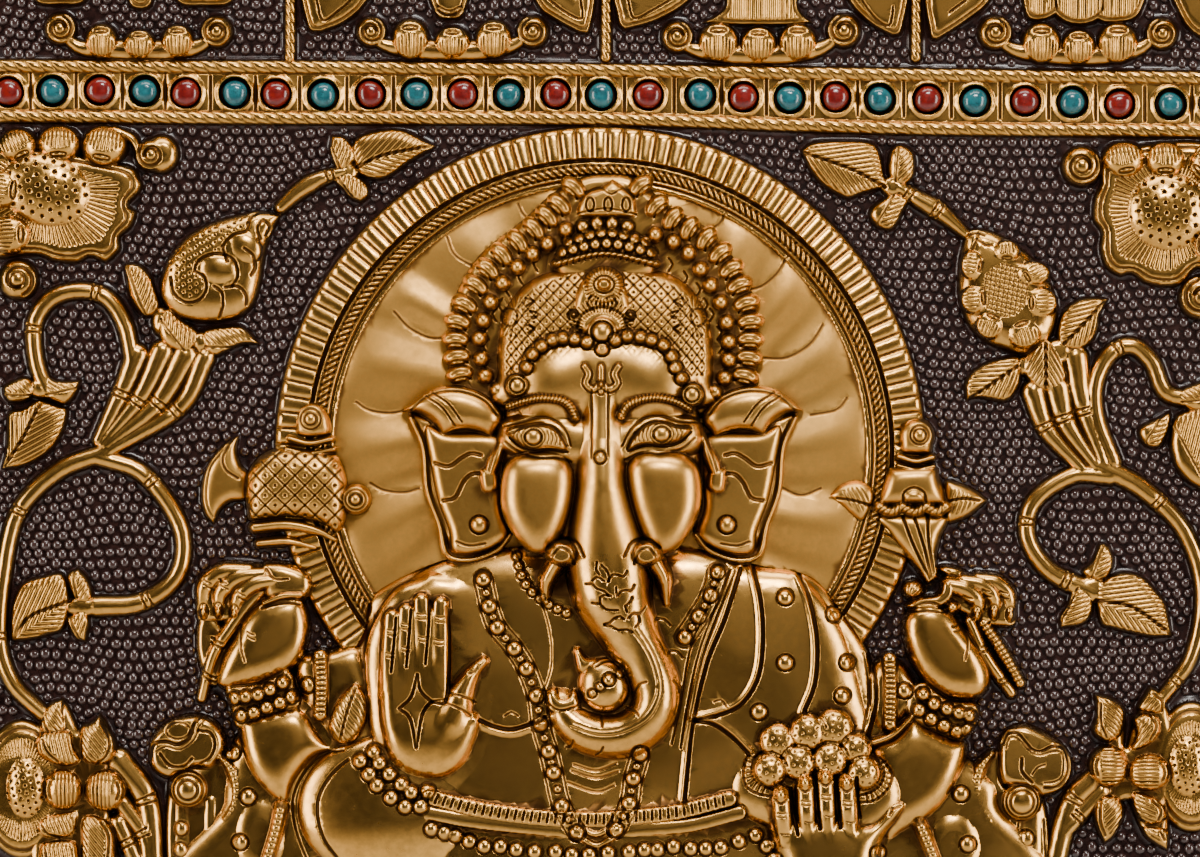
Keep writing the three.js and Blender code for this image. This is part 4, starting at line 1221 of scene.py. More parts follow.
def right_rear_hand():
    # The flask: ball, collar, body and fluted foot, between two leaves.
    flask_foot = [
        (877, 514), (944, 514), (940, 538), (936, 556), (938, 578, 1), (926, 584, 1), (904, 556),
        (888, 536),
    ]
    window, reach = boss(flask_foot, GROUND, 10.6, power=0.8)
    flutes = (
        [(900, 512), (912, 545), (928, 578)],
        [(912, 514), (922, 545), (930, 576)],
        [(926, 512), (927, 540), (932, 572)],
    )
    for flute in flutes:
        groove(flute, 2.2, 0.9)
    flask = [
        (884, 472), (895, 465), (932, 465), (939, 478), (945, 500), (940, 506), (880, 506), (876, 500),
    ]
    boss(flask, GROUND, 13.2, power=0.8)
    flask_petal = [(901, 502), (902, 492), (912, 487), (922, 492), (924, 502)]
    window = boss(flask_petal, 8, 14.4, edge=8)[0]
    groove(flask_petal, 1.8, 0.7)
    for x0, x1 in ((878, 900), (901, 924), (925, 944)):
        tube([(x0, 506), ((x0 + x1) / 2, 511), (x1, 506)], 14, GROUND, 12.2, power=0.7)
        across_path([(x0 + 2, 507), ((x0 + x1) / 2, 510), (x1 - 1, 507)], 4.6, 9, 1.3, 0.5, lean=0.4)
    flask_lid = [
        (897, 446), (896, 432), (902, 422), (914, 417), (927, 421), (934, 434), (932, 446), (928, 455),
        (901, 455),
    ]
    boss(flask_lid, GROUND, 11.6, power=0.85)
    groove(oval_points(918, 435, 9.5, 9.5), 1.6, 0.6, closed=True)
    beads([(918, 435)], 6.5, 1.4)
    lower_collar = [(896, 465), (914, 469), (932, 466)]
    tube(lower_collar, 6, GROUND, 11.4, power=0.8)
    upper_collar = [(897, 456), (914, 461), (931, 457)]
    tube(upper_collar, 9, GROUND, 12, power=0.8)
    left = [
        (826, 496, 1), (838, 484), (855, 479), (870, 484), (876, 496), (870, 512), (861, 522),
        (850, 516), (838, 505),
    ]
    right = [(943, 483), (957, 482), (975, 490), (987, 500, 1), (973, 513), (958, 521), (944, 520)]
    side_leaves = (
        (left, [(836, 498), (852, 500), (872, 506)], 1.1),
        (right, [(946, 501), (962, 498), (978, 500)], 1.9),
    )
    for outline, vein, lean in side_leaves:
        window, reach = boss(outline, GROUND, 9.8, edge=13, power=0.8)
        hatch(window, reach, lean, 4.4, 0.5, inset=6)
        groove(vein, 2.0, 0.8)
    # The hand behind, with its two rods.
    oval(953, 572, 17, 6.5, GROUND, 8.4, turn=0.3)
    window, reach = oval(912, 589, 12, 11, GROUND, 9.6)
    fan(window, reach, (905, 602), 26, 0.5, inset=2)
    finger_plate = [
        (946, 578), (972, 572), (998, 578), (1012, 592), (1016, 612), (1012, 626), (990, 626),
        (968, 618), (948, 604),
    ]
    boss(finger_plate, GROUND, 8.6, edge=8)
    little_finger = [(976, 578), (996, 583), (1007, 596), (1008, 612)]
    hooked_finger(little_finger, [16, 20, 20, 13], 10.2, (1009, 614))
    ring_finger = [(962, 580), (982, 585), (993, 598), (992, 611)]
    hooked_finger(ring_finger, [18, 21, 20, 13], 11.0, (992, 612))
    middle_finger = [(948, 584), (965, 589), (976, 600), (975, 613)]
    hooked_finger(middle_finger, [20, 23, 22, 14], 11.8, (975, 614))
    for x, y in ((966, 599), (984, 592), (1002, 594)):
        ticks([(x, y - 2.5), (x + 1, y + 3)], 8, 0.3)
    far_rod = [(982, 622), (1002, 652), (1019, 682)]
    tube(far_rod, [14, 15, 13], GROUND, [8.6, 8.6, 8], power=0.8)
    far_rod_marks = [(984, 624), (1003, 652), (1019, 682)]
    across_path(far_rod_marks, 5, 11, 1.5, 0.6)
    near_rod = [(968, 620), (984, 655), (1010, 692)]
    tube(near_rod, [14, 15, 13], GROUND, [9.6, 9.2, 8.2], power=0.8)
    for x, y in ((985, 646), (1003, 679)):
        ticks([(x, y - 2.5), (x + 1, y + 2.5)], 12, -0.5, 1.8, 0.7)
    thumb = [
        (903, 606), (918, 596), (936, 592), (940, 580), (950, 577), (954, 590), (948, 602), (930, 610),
    ]
    boss(thumb, GROUND, 11.8, power=0.8)
    oval(951, 606, 9, 9, GROUND, 12)
    hand_back = [
        (902, 640), (902, 618), (914, 604), (930, 600), (948, 608), (963, 627), (980, 650), (989, 670),
        (988, 687), (976, 698), (953, 699), (933, 690), (914, 670),
    ]
    boss(hand_back, GROUND, 13.2, power=0.72)
    cuff_fold = [(910, 610), (918, 603), (932, 602), (945, 611)]
    groove(cuff_fold, 2.4, 0.8)
    cuff_line = [(910, 610), (926, 610), (945, 611)]
    groove(cuff_line, 1.6, 0.6)
    hand_crease = [(958, 622), (966, 640), (963, 658)]
    groove(hand_crease, 2.0, 0.5)
    ticks([(954, 624), (956, 629)], 8, -0.3)


def ribbed_strip(path, widths, foot, top):
    """A strip with ribs across it inside two edge lines."""
    window, across, run, _, half = tube(path, widths, foot, top)
    off = np.abs((run / 6 + 0.5) % 1 - 0.5) * 6
    ridges(window, off, 6, smooth_step((half - 3 - np.abs(across)) / 1.5), 0.5)
    engrave(window, np.clip(1 - ((np.abs(across) - half + 3) / 1.2) ** 2, 0, 1), 0.4, 0.7)


def scarves():
    left_plate = [(172, 768), (205, 764), (230, 748), (244, 770), (240, 820), (236, 880), (172, 880)]
    boss(left_plate, GROUND, 7.0, edge=8)
    right_plate = [
        (978, 765), (1000, 748), (1004, 784), (1042, 796), (1046, 880), (998, 880), (974, 805),
    ]
    boss(right_plate, GROUND, 7.0, edge=8)
    # Left knot.
    left_knot = [
        (150, 757), (152, 738), (162, 725), (180, 715), (200, 713), (215, 718), (225, 730), (228, 745),
        (222, 758), (212, 768), (200, 766), (185, 771), (170, 778), (155, 770),
    ]
    boss(left_knot, GROUND, 9.6, edge=9)
    left_fold = [(205, 712), (196, 722), (192, 735), (180, 743), (168, 740), (155, 743), (152, 757)]
    groove(left_fold, 2.6, 1.0)
    left_fold_echo = [(209, 715), (201, 725), (196, 738), (182, 748), (168, 745), (158, 750)]
    groove(left_fold_echo, 1.5, 0.5)
    left_loop = [(200, 729), (212, 731), (217, 742), (213, 755), (203, 762)]
    groove(left_loop, 2.2, 0.8)
    groove(oval_points(180, 729, 12, 8.5), 1.6, 0.6, closed=True)
    left_hem = [(162, 752), (172, 764), (186, 765), (194, 757)]
    groove(left_hem, 2.2, 0.8)
    # Right knot.
    right_knot = [
        (996, 750), (999, 736), (1008, 726), (1022, 722), (1034, 726), (1050, 734), (1064, 746),
        (1071, 762), (1067, 780), (1055, 792), (1040, 796), (1028, 788), (1012, 786), (1000, 782),
        (996, 768),
    ]
    boss(right_knot, GROUND, 9.6, edge=9)
    for shift, width, depth in ((0, 2.2, 0.9), (5, 1.5, 0.6)):
        right_fold = [
            (1001 + shift * 0.6, 742 + shift), (1007, 731 + shift), (1016, 732 + shift),
            (1023, 740 + shift * 0.8), (1030, 748 + shift * 0.6), (1039, 750 + shift * 0.6),
            (1049, 745 + shift), (1059, 745 + shift), (1066 - shift, 758), (1065 - shift, 774),
            (1055 - shift * 0.5, 785 - shift), (1042, 786 - shift),
        ]
        groove(right_fold, width, depth)
    right_loop = [(1020, 757), (1020, 770), (1030, 781)]
    groove(right_loop, 2.4, 0.8)
    right_hem = [(1030, 773), (1035, 766), (1043, 763)]
    groove(right_hem, 1.6, 0.5)
    # Their hanging ends.
    tube([(184, 800), (184, 880)], 26, GROUND, 7.6)
    tube([(212, 800), (210, 880)], 20, GROUND, 7.6)
    tube([(1030, 812), (1030, 880)], 30, GROUND, 7.8)
    tube([(1006, 820), (1003, 880)], 14, GROUND, 7.4)
    groove([(1017, 822), (1015, 870)], 1.6, 0.6)
    groove([(1042, 818), (1045, 870)], 1.6, 0.6)
    ring_boss(190, 788, 20, 15.5, 9.5, 11)
    ring_boss(1020, 800, 21, 16.5, 12, 11)
    side_strips = (
        [(222, 756), (233, 768), (238, 785), (236, 802), (226, 818)],
        [(990, 752), (978, 768), (975, 788), (980, 806), (992, 824)],
    )
    for path in side_strips:
        ribbed_strip(path, [9, 17, 17, 14, 8], GROUND, 9.6)
    beads([(183, 827), (182, 848), (211, 842)], 7.5, 1.4)
    beads([(1024, 837), (1000, 850)], 8.5, 1.6, ring=0.7)


def robe():
    outline = [
        (232, 745), (250, 722), (300, 690), (345, 655), (362, 630), (374, 592), (440, 558), (520, 545),
        (690, 545), (760, 562), (812, 574), (845, 612), (868, 650), (884, 700), (940, 740), (985, 770),
        (1000, 800), (992, 900), (226, 900), (222, 800),
    ]
    boss(outline, GROUND, 9.6, edge=26, stride=4)
    torso = [
        (370, 655), (384, 604), (440, 562), (530, 545), (690, 548), (755, 565), (800, 575), (840, 625),
        (862, 690), (866, 735), (820, 800), (700, 850), (600, 860), (500, 850), (400, 800), (368, 730),
    ]
    boss(torso, 7, 14.2, edge=60, power=0.9, stride=4)
    oval(615, 872, 190, 108, 9, 16.4, power=0.95, blend=1.5)
    # The raised hand stands before a plate of its own.
    hand_plate = [
        (440, 572), (420, 578), (395, 590), (374, 622), (366, 655), (368, 700), (374, 740), (396, 784),
        (440, 800), (486, 770), (500, 715), (500, 650), (486, 590),
    ]
    boss(hand_plate, 10, 14.6, edge=26, blend=1.0)
    left_sleeve = [
        (300, 655), (330, 648), (362, 645), (380, 690), (380, 745), (340, 750), (310, 716), (296, 680),
    ]
    boss(left_sleeve, GROUND, 10.8, edge=18)
    right_sleeve = [(874, 660), (900, 660), (918, 690), (911, 712), (880, 738), (864, 705)]
    boss(right_sleeve, GROUND, 10.8, edge=14)
    oval(952, 845, 36, 44, GROUND, 11, edge=24)
    oval(262, 835, 34, 52, GROUND, 11, edge=24)


def arms():
    left_forearm = [
        (240, 720), (254, 712), (290, 702), (308, 708), (326, 735), (338, 748), (318, 758), (300, 780),
        (292, 800), (282, 804), (264, 790), (250, 772), (242, 750),
    ]
    boss(left_forearm, GROUND, 13.4, power=0.85)
    oval(390, 806, 92, 74, 8, 16.6, power=0.85)
    outer_sleeve_line = [
        (345, 748), (325, 752), (310, 765), (298, 785), (294, 805), (298, 830), (308, 857),
    ]
    groove(outer_sleeve_line, 2.0, 0.6)
    inner_sleeve_line = [(350, 757), (335, 770), (322, 790), (319, 810), (325, 835), (340, 857)]
    groove(inner_sleeve_line, 2.4, 0.8)
    right_forearm = [
        (868, 744), (890, 732), (911, 712), (926, 722), (950, 734), (966, 742), (962, 770), (946, 800),
        (926, 819), (902, 832), (884, 840), (866, 800),
    ]
    boss(right_forearm, GROUND, 14.0, power=0.8)
    elbow_fold = [(868, 742), (892, 732), (912, 712)]
    tube(elbow_fold, [9, 9, 6], 9, 13.4)
    wrists = (
        (
            [
                (228, 684), (262, 680), (288, 666), (298, 684), (302, 706), (270, 718), (240, 728),
                (232, 708),
            ],
            (
                [(236, 697), (248, 695), (260, 693), (272, 688), (285, 681)],
                [(243, 714), (256, 711), (269, 706), (282, 701), (294, 695)],
            ),
        ),
        (
            [
                (903, 692), (922, 680), (948, 697), (975, 702), (976, 722), (960, 739), (930, 731),
                (905, 716),
            ],
            (
                [(921, 692), (932, 702), (945, 707), (957, 711), (968, 714)],
                [(917, 708), (929, 717), (942, 724), (955, 730), (966, 728)],
            ),
        ),
    )
    for wrist, rows in wrists:
        boss(wrist, 7, 11.6, edge=12)
        for points in rows:
            beads(points, 7.4, 2.6, ring=0.5)
    beads([(973, 742)], 8, 2.0, ring=0.6)


def raised_hand():
    palm = [
        (386, 612), (382, 620), (379, 650), (378, 690), (380, 720), (385, 740), (395, 760), (412, 772),
        (437, 778), (455, 772), (470, 755), (480, 735), (483, 712), (466, 700), (450, 680), (450, 640),
        (449, 604), (420, 598),
    ]
    boss(palm, 10, 18.0, edge=17, power=0.9)
    oval(430, 738, 44, 38, 13, 19.4, power=0.9, blend=1.5)
    fingers = [(392, 394, 608, 672), (408, 408, 602, 668), (425, 423, 592, 666), (441, 442, 595, 690)]
    for low_x, high_x, tip, low in fingers:
        finger = [(low_x, low + 14), (low_x, low - 20), (high_x, tip + 8)]
        tube(finger, [16, 17, 16], 15.2, [17.3, 18.7, 18.5], power=0.45, blend=0.8)
    finger_gaps = (
        [(398, 616), (396, 640), (393, 670)],
        [(413, 608), (411, 634), (408, 665)],
        [(431, 600), (430, 630), (427, 662)],
    )
    for line in finger_gaps:
        groove(line, 1.9, 1.0, dark=1.0)
    for low_x, high_x, tip, low in fingers:
        joints = [(high_x, tip + 20), (high_x, tip + 25), (low_x, tip + 43), (low_x, tip + 47)]
        ticks(joints, 8, 0.05, 1.3, 0.5)
    thumb = [(436, 740), (452, 718), (463, 690), (474, 670), (485, 659)]
    tube(thumb, [44, 44, 32, 20, 11], 12, [18.6, 19.6, 19.4, 18.4, 16.8], power=0.8, blend=1)
    palm_side = [(448, 606), (451, 640), (450, 680), (446, 700), (433, 699)]
    groove(palm_side, 2.0, 0.9)
    palm_creases = (
        [(450, 690), (465, 694), (476, 700)],
        [(447, 700), (462, 706), (472, 713)],
        [(423, 712), (432, 700), (447, 697)],
        [(470, 671), (475, 670), (479, 664)],
    )
    for line in palm_creases:
        groove(line, 1.7, 0.6)
    diamond = [
        (419, 672, 1), (422, 688), (433, 699, 1), (424, 712), (418, 745, 1), (412, 716), (401, 706, 1),
        (413, 694),
    ]
    groove(diamond, 2.2, 0.9, closed=True)


def bowl_hand():
    bowl = [
        (724, 786), (728, 768), (740, 756), (752, 749), (800, 740), (850, 742), (872, 752), (886, 758),
        (898, 770), (905, 790), (898, 812), (870, 838), (800, 850), (765, 828), (742, 817), (728, 802),
    ]
    boss(bowl, 9, 16.4, edge=26)
    sweets = [
        (776, 739, 18.5), (832, 726, 20), (806, 730, 19), (854, 746, 16), (797, 760, 18.5),
        (828, 757, 18.5), (768, 767, 18), (861, 770, 17.5),
    ]
    for i, (x, y, radius) in enumerate(sweets):
        window, reach = oval(x, y, radius, radius, 14.5, 19.2 + 0.2 * i, power=0.7)
        dots(window, reach, 7.6, 1.7, 0.42, inset=3, turn=x)
        groove(oval_points(x, y, radius, radius)[14:28], 1.2, 0.5)
    rims = (
        (
            [(752, 751), (745, 757), (742, 770), (745, 783), (755, 790), (768, 793)],
            [(762, 749), (754, 757), (752, 766), (755, 775), (764, 783), (776, 787)],
            [(750, 754), (747, 770), (751, 781), (766, 789)],
        ),
        (
            [(878, 756), (888, 766), (890, 777), (882, 790), (870, 798), (858, 799)],
            [(872, 753), (881, 764), (880, 778), (870, 788), (858, 792)],
            [(880, 760), (885, 775), (875, 791), (860, 795)],
        ),
    )
    for outer, inner, middle in rims:
        groove(outer, 1.8, 0.7)
        groove(inner, 1.8, 0.7)
        across_path(middle, 5.2, 8, 1.4, 0.5)
    hand = [
        (766, 812), (790, 806), (850, 806), (864, 818), (875, 812), (886, 801), (898, 797), (906, 801),
        (896, 818), (881, 838), (862, 900), (790, 900), (776, 860), (767, 835),
    ]
    boss(hand, 10, 19.4, edge=26)
    fingers = [(779, 782, 830), (803, 770, 832), (823, 764, 832), (844, 770, 826)]
    for x, tip, base in fingers:
        finger = [(x + 5, base + 8), (x + 2, base - 16), (x, tip + 8)]
        tube(finger, [14, 20, 18.5], 16.5, [19, 21.0, 20.6], power=0.7, blend=0.8)
    for x, tip, base in fingers:
        groove([(x - 6, tip + 14), (x, tip + 18), (x + 6, tip + 14)], 1.8, 0.7)
        oval(x, tip + 9, 5.5, 7, 19, 21.6)
        ticks([(x + 1, tip + 27), (x + 1, tip + 31), (x + 4, tip + 48)], 8, 0.05, 1.4, 0.45)
    finger_gaps = (
        [(789, 785), (791, 806), (796, 831)],
        [(813, 774), (815, 800), (818, 825)],
        [(833, 774), (836, 800), (838, 824)],
        [(854, 774), (856, 800), (858, 814)],
    )
    for line in finger_gaps:
        groove(line, 2.1, 1.5, dark=1.0)
    thumb_line = [(898, 803), (890, 806), (887, 812)]
    groove(thumb_line, 1.8, 0.6)


GARLAND = [
    (574, 189), (560, 206), (548, 218), (535, 230), (519, 243), (503, 256), (489, 270), (477, 286),
    (466, 305), (459, 322), (457, 340), (458, 357), (461, 374),
]

GARLAND_RIGHT = [
    (640, 187), (656, 207), (672, 220), (688, 230), (705, 240), (719, 254), (730, 270), (738, 286),
    (745, 304), (749, 322), (749, 340), (748, 358), (744, 376),
]


def scale(x, y, radius, heading, foot, top):
    """One lobe of the garland: a pillow across it, with two crescents engraved."""
    oval(x, y, radius * 0.74, radius * 1.16, foot, top, power=0.75, turn=heading)
    c, s = np.cos(heading), np.sin(heading)
    for back, half, sag, width, depth in ((-0.30, 0.72, 0.20, 1.7, 0.7), (0.22, 0.62, 0.18, 1.4, 0.5)):
        arc = []
        for t in (-1, -0.5, 0, 0.5, 1):
            u, v = (back - sag * t * t) * radius, t * half * radius
            arc.append((x - u * c - v * s, y - u * s + v * c))
        groove(arc, width, depth, dark=0.6)


def crown():
    back = [
        (446, 350), (450, 310), (475, 258), (520, 222), (548, 196), (580, 176), (606, 172), (634, 176),
        (668, 204), (710, 230), (742, 268), (758, 320), (758, 370), (750, 392), (700, 420), (508, 420),
        (455, 392),
    ]
    boss(back, GROUND, 11.4, edge=12, stride=4)
    for line in (GARLAND, GARLAND_RIGHT):
        for i, (x, y) in reversed(list(enumerate(line))):
            x0, y0 = line[max(i - 1, 0)]
            x1, y1 = line[min(i + 1, len(line) - 1)]
            scale(x, y, 13.2, np.arctan2(y1 - y0, x1 - x0), 8, 14.0)
    left = [(540, 265), (525, 278), (512, 290), (505, 305), (499, 315), (491, 333), (490, 347)]
    for x, y in left + [(MIRROR - x, y) for x, y in left]:
        sign = 1 if x < 603 else -1
        groove([(x - sign * 2, y - 6), (x - sign * 6, y), (x - sign * 2, y + 7)], 1.7, 0.6)
    cap = [
        (497, 372), (498, 340), (506, 308), (528, 282), (562, 268), (604, 262), (650, 268), (684, 282),
        (704, 308), (713, 340), (713, 380), (700, 410), (508, 410),
    ]
    window, reach = boss(cap, 8, 19.2, power=0.8, stride=4)
    swell = np.sqrt(np.clip(1 - ((window.x - 604) / 128) ** 2, 0.15, 1))
    u = np.arcsin(np.clip((window.x - 604) / 128, -0.95, 0.95)) * 128
    v = (window.y - 330) / (0.6 + 0.4 * swell)
    net(window, u, v, 10.4, smooth_step((reach - 9) / 2) * (window.y < 376), 0.45, 1.8)
    tier = [
        (552, 268), (556, 250), (572, 236), (606, 226), (640, 236), (656, 250), (660, 268), (640, 284),
        (572, 284),
    ]
    boss(tier, 8, 15.6, edge=14)
    finial = [
        (580, 220), (577, 204), (586, 192), (600, 187), (612, 178, 1), (626, 188), (635, 196),
        (638, 208), (634, 220),
    ]
    boss(finial, 7, 13.8, edge=9)
    for x in (590, 608, 626):
        groove(oval_points(x, 206, 4, 7), 1.6, 0.8, closed=True)
    scallops = [(586, 194), (600, 189), (611, 196), (622, 190), (634, 198)]
    groove(scallops, 1.6, 0.5)
    finial_band = [(578, 215), (606, 210), (636, 216)]
    groove(finial_band, 1.6, 0.6)
    tier_band = [(556, 265), (604, 255), (656, 265)]
    tube(tier_band, 9, 10, 17.6)
    across_path(tier_band, 6.2, 8, 1.5, 0.6, lean=0.5)
    tier_beads = [(583, 228), (597, 225), (612, 225), (627, 228)]
    beads(tier_beads, 6.8, 2.6, ring=0.5)
    bead_rows = ([(566, 243), (606, 234), (646, 243)], [(560, 254), (606, 245), (652, 254)])
    for row in bead_rows:
        beads(list(along(row, 11.4, 2)[0]), 5.6, 1.9, ring=0.4)
    columns = (
        [(566, 231), (548, 245), (533, 255), (518, 268), (503, 284), (491, 303), (484, 321), (480, 339),
         (482, 359), (486, 376), (498, 390)],
        [(655, 236), (673, 243), (688, 254), (700, 270), (710, 286), (720, 303), (726, 323), (728, 342),
         (728, 360), (724, 378), (714, 392)],
    )
    for column in columns:
        for x, y in column:
            oval(x, y, 8.6, 8.6, 10, 15.0, power=0.9)
    crest()


def crest():
    """The jewel over the brow, in its fan of rays."""
    window, reach = oval(602, 310, 31, 38, 14, 20.4, edge=12)
    dx, dy = window.x - 602, window.y - 334
    away = np.hypot(dx, dy)
    rays = smooth_step((away - 19) / 2) * (away < 35) * (dy < 4)
    fan(window, reach, (602, 334), 46, 1.0, inset=-4, where=rays)
    jewel_edge = [(576, 334), (582, 316), (602, 308), (622, 316), (628, 334)]
    groove(jewel_edge, 1.8, 0.7)
    window, reach = oval(604, 288, 21, 21, 14, 21.2, edge=8)
    fan(window, reach, (604, 288), 28, 1.0, inset=0, start=10)
    oval(604, 286, 9, 7.5, 16, 23, edge=5)
    groove(oval_points(604, 286, 10, 8.5), 1.5, 0.6, closed=True)
    for side in (-1, 1):
        tendril = [(602 + side * ahead, y) for ahead, y in ((4, 300), (11, 297), (14, 305), (8, 312))]
        groove(tendril, 1.7, 0.6)
        curl(602 + side * 27, 334, 8, 14, 20, side, start=0.5, turns=1.1)
        curl(602 + side * 28, 316, 7, 14, 19.6, -side, start=2.5, turns=1.0)
    oval(602, 333, 17, 17, 15, 21.6, edge=5)
    beads([(602, 333)], 10, 2.6, ring=1.0)
    # A half rosette at each side of the cap.
    for x, sign in ((516, 1), (692, -1)):
        window = Window([(x, 318)], margin=26)
        dx, dy = window.x - x, window.y - 318
        away = np.hypot(dx, dy)
        ring_of = smooth_step((away - 9) / 2) * smooth_step((22 - away) / 2) * (dx * sign > -12)
        pitch = 2 * np.pi * away / 24
        off = np.abs((np.arctan2(dy, dx) * 24 / (2 * np.pi) + 0.5) % 1 - 0.5) * pitch
        ridges(window, off, np.maximum(pitch, 0.5), ring_of, 0.5)
        for dx, dy in ((14, -16), (19, -3), (15, 11)):
            back_x, tip_x, low_x = (x + sign * (dx + shift) for shift in (-4, 4, -2))
            groove([(back_x, 318 + dy - 3), (tip_x, 318 + dy), (low_x, 318 + dy + 5)], 1.8, 0.7)
        groove(oval_points(x - sign * 6, 318, 8, 9), 1.7, 0.6, closed=True)


def eyes():
    # The ball, the fold over it, its two lids, the line under it, the pupil, and the way outwards.
    left_eye = (
        [
            (507, 431), (522, 425), (542, 422), (558, 428), (569, 444), (566, 452), (548, 450),
            (532, 451), (516, 443),
        ],
        [(505, 426), (522, 422), (542, 417), (558, 422), (567, 432), (571, 446)],
        [(510, 434), (525, 427), (545, 425), (557, 430), (567, 446)],
        [(511, 437), (521, 446), (536, 450), (551, 449), (568, 452)],
        [(506, 442), (520, 452), (540, 457), (558, 457), (571, 462)],
        (534, 437),
        1,
    )
    right_eye = (
        [
            (691, 427), (676, 424), (660, 420), (644, 424), (630, 438), (627, 451), (642, 446),
            (662, 446), (682, 440),
        ],
        [(695, 422), (678, 421), (660, 416), (642, 419), (630, 430), (622, 446)],
        [(690, 428), (675, 426), (660, 422), (645, 425), (633, 437), (627, 449)],
        [(690, 432), (679, 442), (664, 446), (645, 445), (628, 451)],
        [(694, 438), (680, 449), (660, 453), (640, 453), (625, 460)],
        (661, 434),
        -1,
    )
    for ball, fold, upper, lower, under, pupil, sign in (left_eye, right_eye):
        boss(ball, 15, 23.4, power=0.7)
        groove(fold, 1.7, 0.6)
        groove(upper, 2.0, 0.9)
        groove(lower, 1.9, 0.8)
        groove(under, 1.8, 0.5)
        beads([pupil], 8, 1.5, ring=0.8)
        x, y = pupil
        groove(oval_points(x, y, 11.5, 11), 1.3, 0.45, closed=True)
        for k in (14, 18, 22, 26):
            lean = (k - 12) * 0.12
            near_x, far_x = x + sign * k, x + sign * (k + 1.5)
            groove([(near_x, y - 7 + lean * 3), (far_x, y), (near_x, y + 6 + lean)], 1.2, 0.45)
        for k in (15, 19):
            groove([(x - sign * k, y - 5), (x - sign * (k + 1), y), (x - sign * k, y + 4)], 1.2, 0.4)
    brows = (
        [(509, 407), (522, 402), (540, 398.5), (560, 400), (570, 406), (576, 417)],
        [(689, 409), (676, 402), (657, 398), (640, 400), (627, 406), (621, 416)],
    )
    for brow in brows:
        tube(brow, [6, 8, 9, 10, 11, 9], 18, [21.8, 23, 23.6, 23.8, 23.8, 23.4], blend=0.5)
        across_path(brow, 3.6, 8, 1.1, 0.5, lean=0.25)


def flames():
    """The engraved flames on the trunk."""
    strokes = [
        [(597, 560), (596, 568), (599, 573)],
        [(601, 563), (607, 569), (609, 575), (608, 580)],
        [(592, 579), (597, 575), (604, 579)],
        [(608, 580), (612, 573), (618, 573), (623, 575), (627, 569)],
        [(586, 582), (592, 582), (597, 587), (604, 589), (608, 593)],
        [(616, 585), (617, 594), (621, 589), (627, 588), (631, 589), (634, 583)],
        [(600, 601), (600, 595), (604, 593), (611, 594)],
        [(592, 601), (600, 602), (605, 607), (612, 608), (618, 608)],
        [(632, 595), (629, 601), (625, 604), (627, 610)],
        [(628, 616), (633, 611), (640, 611), (645, 605)],
        [(604, 622), (609, 621), (614, 616), (620, 614), (624, 617)],
        [(604, 623), (611, 624), (618, 628), (626, 627), (632, 630)],
        [(638, 613), (639, 620), (635, 625)],
    ]
    for stroke in strokes:
        groove(stroke, 1.7, 0.8, dark=0.8)


MIRROR = 1206  # a point and its reflection in the face's axis add up to this across


def ear(side):
    """An ear with its earring; the right one is the left one reflected."""
    def p(points):
        return [((q[0] if side > 0 else MIRROR - q[0]), q[1]) + tuple(q[2:]) for q in points]

    outer = p([
        (408, 412), (424, 414), (470, 424), (498, 434), (514, 470), (514, 532), (500, 548),
        (474, 560), (450, 559), (444, 540), (432, 512), (425, 480), (420, 440),
    ])
    boss(outer, 6, 11.4, edge=9)
    # The ear's blade: a hollow rim with a cushion inside it.
    rim = p([
        (412, 418), (424, 448), (428, 490), (440, 524), (448, 554), (472, 559), (498, 549),
        (511, 534),
    ])
    tube(rim, [6, 6, 6, 6, 7, 7, 6, 5], 7, 12.4, floor=0.4)
    blade = p([
        (426, 426), (450, 432), (500, 436), (506, 470), (503, 505), (509, 532), (494, 547),
        (470, 554), (453, 550), (449, 530), (438, 500), (431, 465),
    ])
    boss(blade, 10.0, 13.8, edge=12, power=0.9)
    veins = (
        [(436, 463), (450, 466), (462, 458), (472, 453), (482, 455)],
        [(444, 500), (456, 497), (464, 482), (472, 474), (482, 473)],
    )
    for vein in veins:
        groove(p(vein), 2.8, 0.9, dark=0.5)
    lobe_line = p([(458, 541), (470, 545), (486, 543)])
    groove(lobe_line, 2.2, 0.6)
    beads(p([(480, 524)]), 8.5, 2.4, ring=0.9)
    earring = p([
        (505, 424), (496, 444), (486, 462), (481, 488, 1), (492, 484), (500, 470), (506, 450),
    ])
    boss(earring, 10, 17, edge=8)
    earring_line = p([(504, 432), (494, 456), (488, 478)])
    groove(earring_line, 1.8, 0.6)
    drop = p([(480, 470), (490, 466), (499, 472), (500, 488), (490, 494), (482, 490)])
    boss(drop, 11, 16.4, edge=7)
    flap = p([
        (403, 411, 1), (416, 399), (432, 389), (452, 385), (472, 388), (490, 397), (503, 412),
        (504, 424, 1), (492, 438, 1), (476, 432), (460, 431), (443, 437, 1), (434, 424), (420, 414),
    ])
    boss(flap, 8, 16.8, edge=17, power=0.8)
    flap_line = p([(413, 410), (424, 399), (440, 392), (462, 391), (484, 399), (498, 414)])
    groove(flap_line, 1.8, 0.6)
    folds = ([(433, 392), (450, 404), (463, 422)], [(427, 396), (444, 408), (456, 426)])
    for fold in folds:
        groove(p(fold), 1.6, 0.7)


def ears():
    for side in (1, -1):
        ear(side)


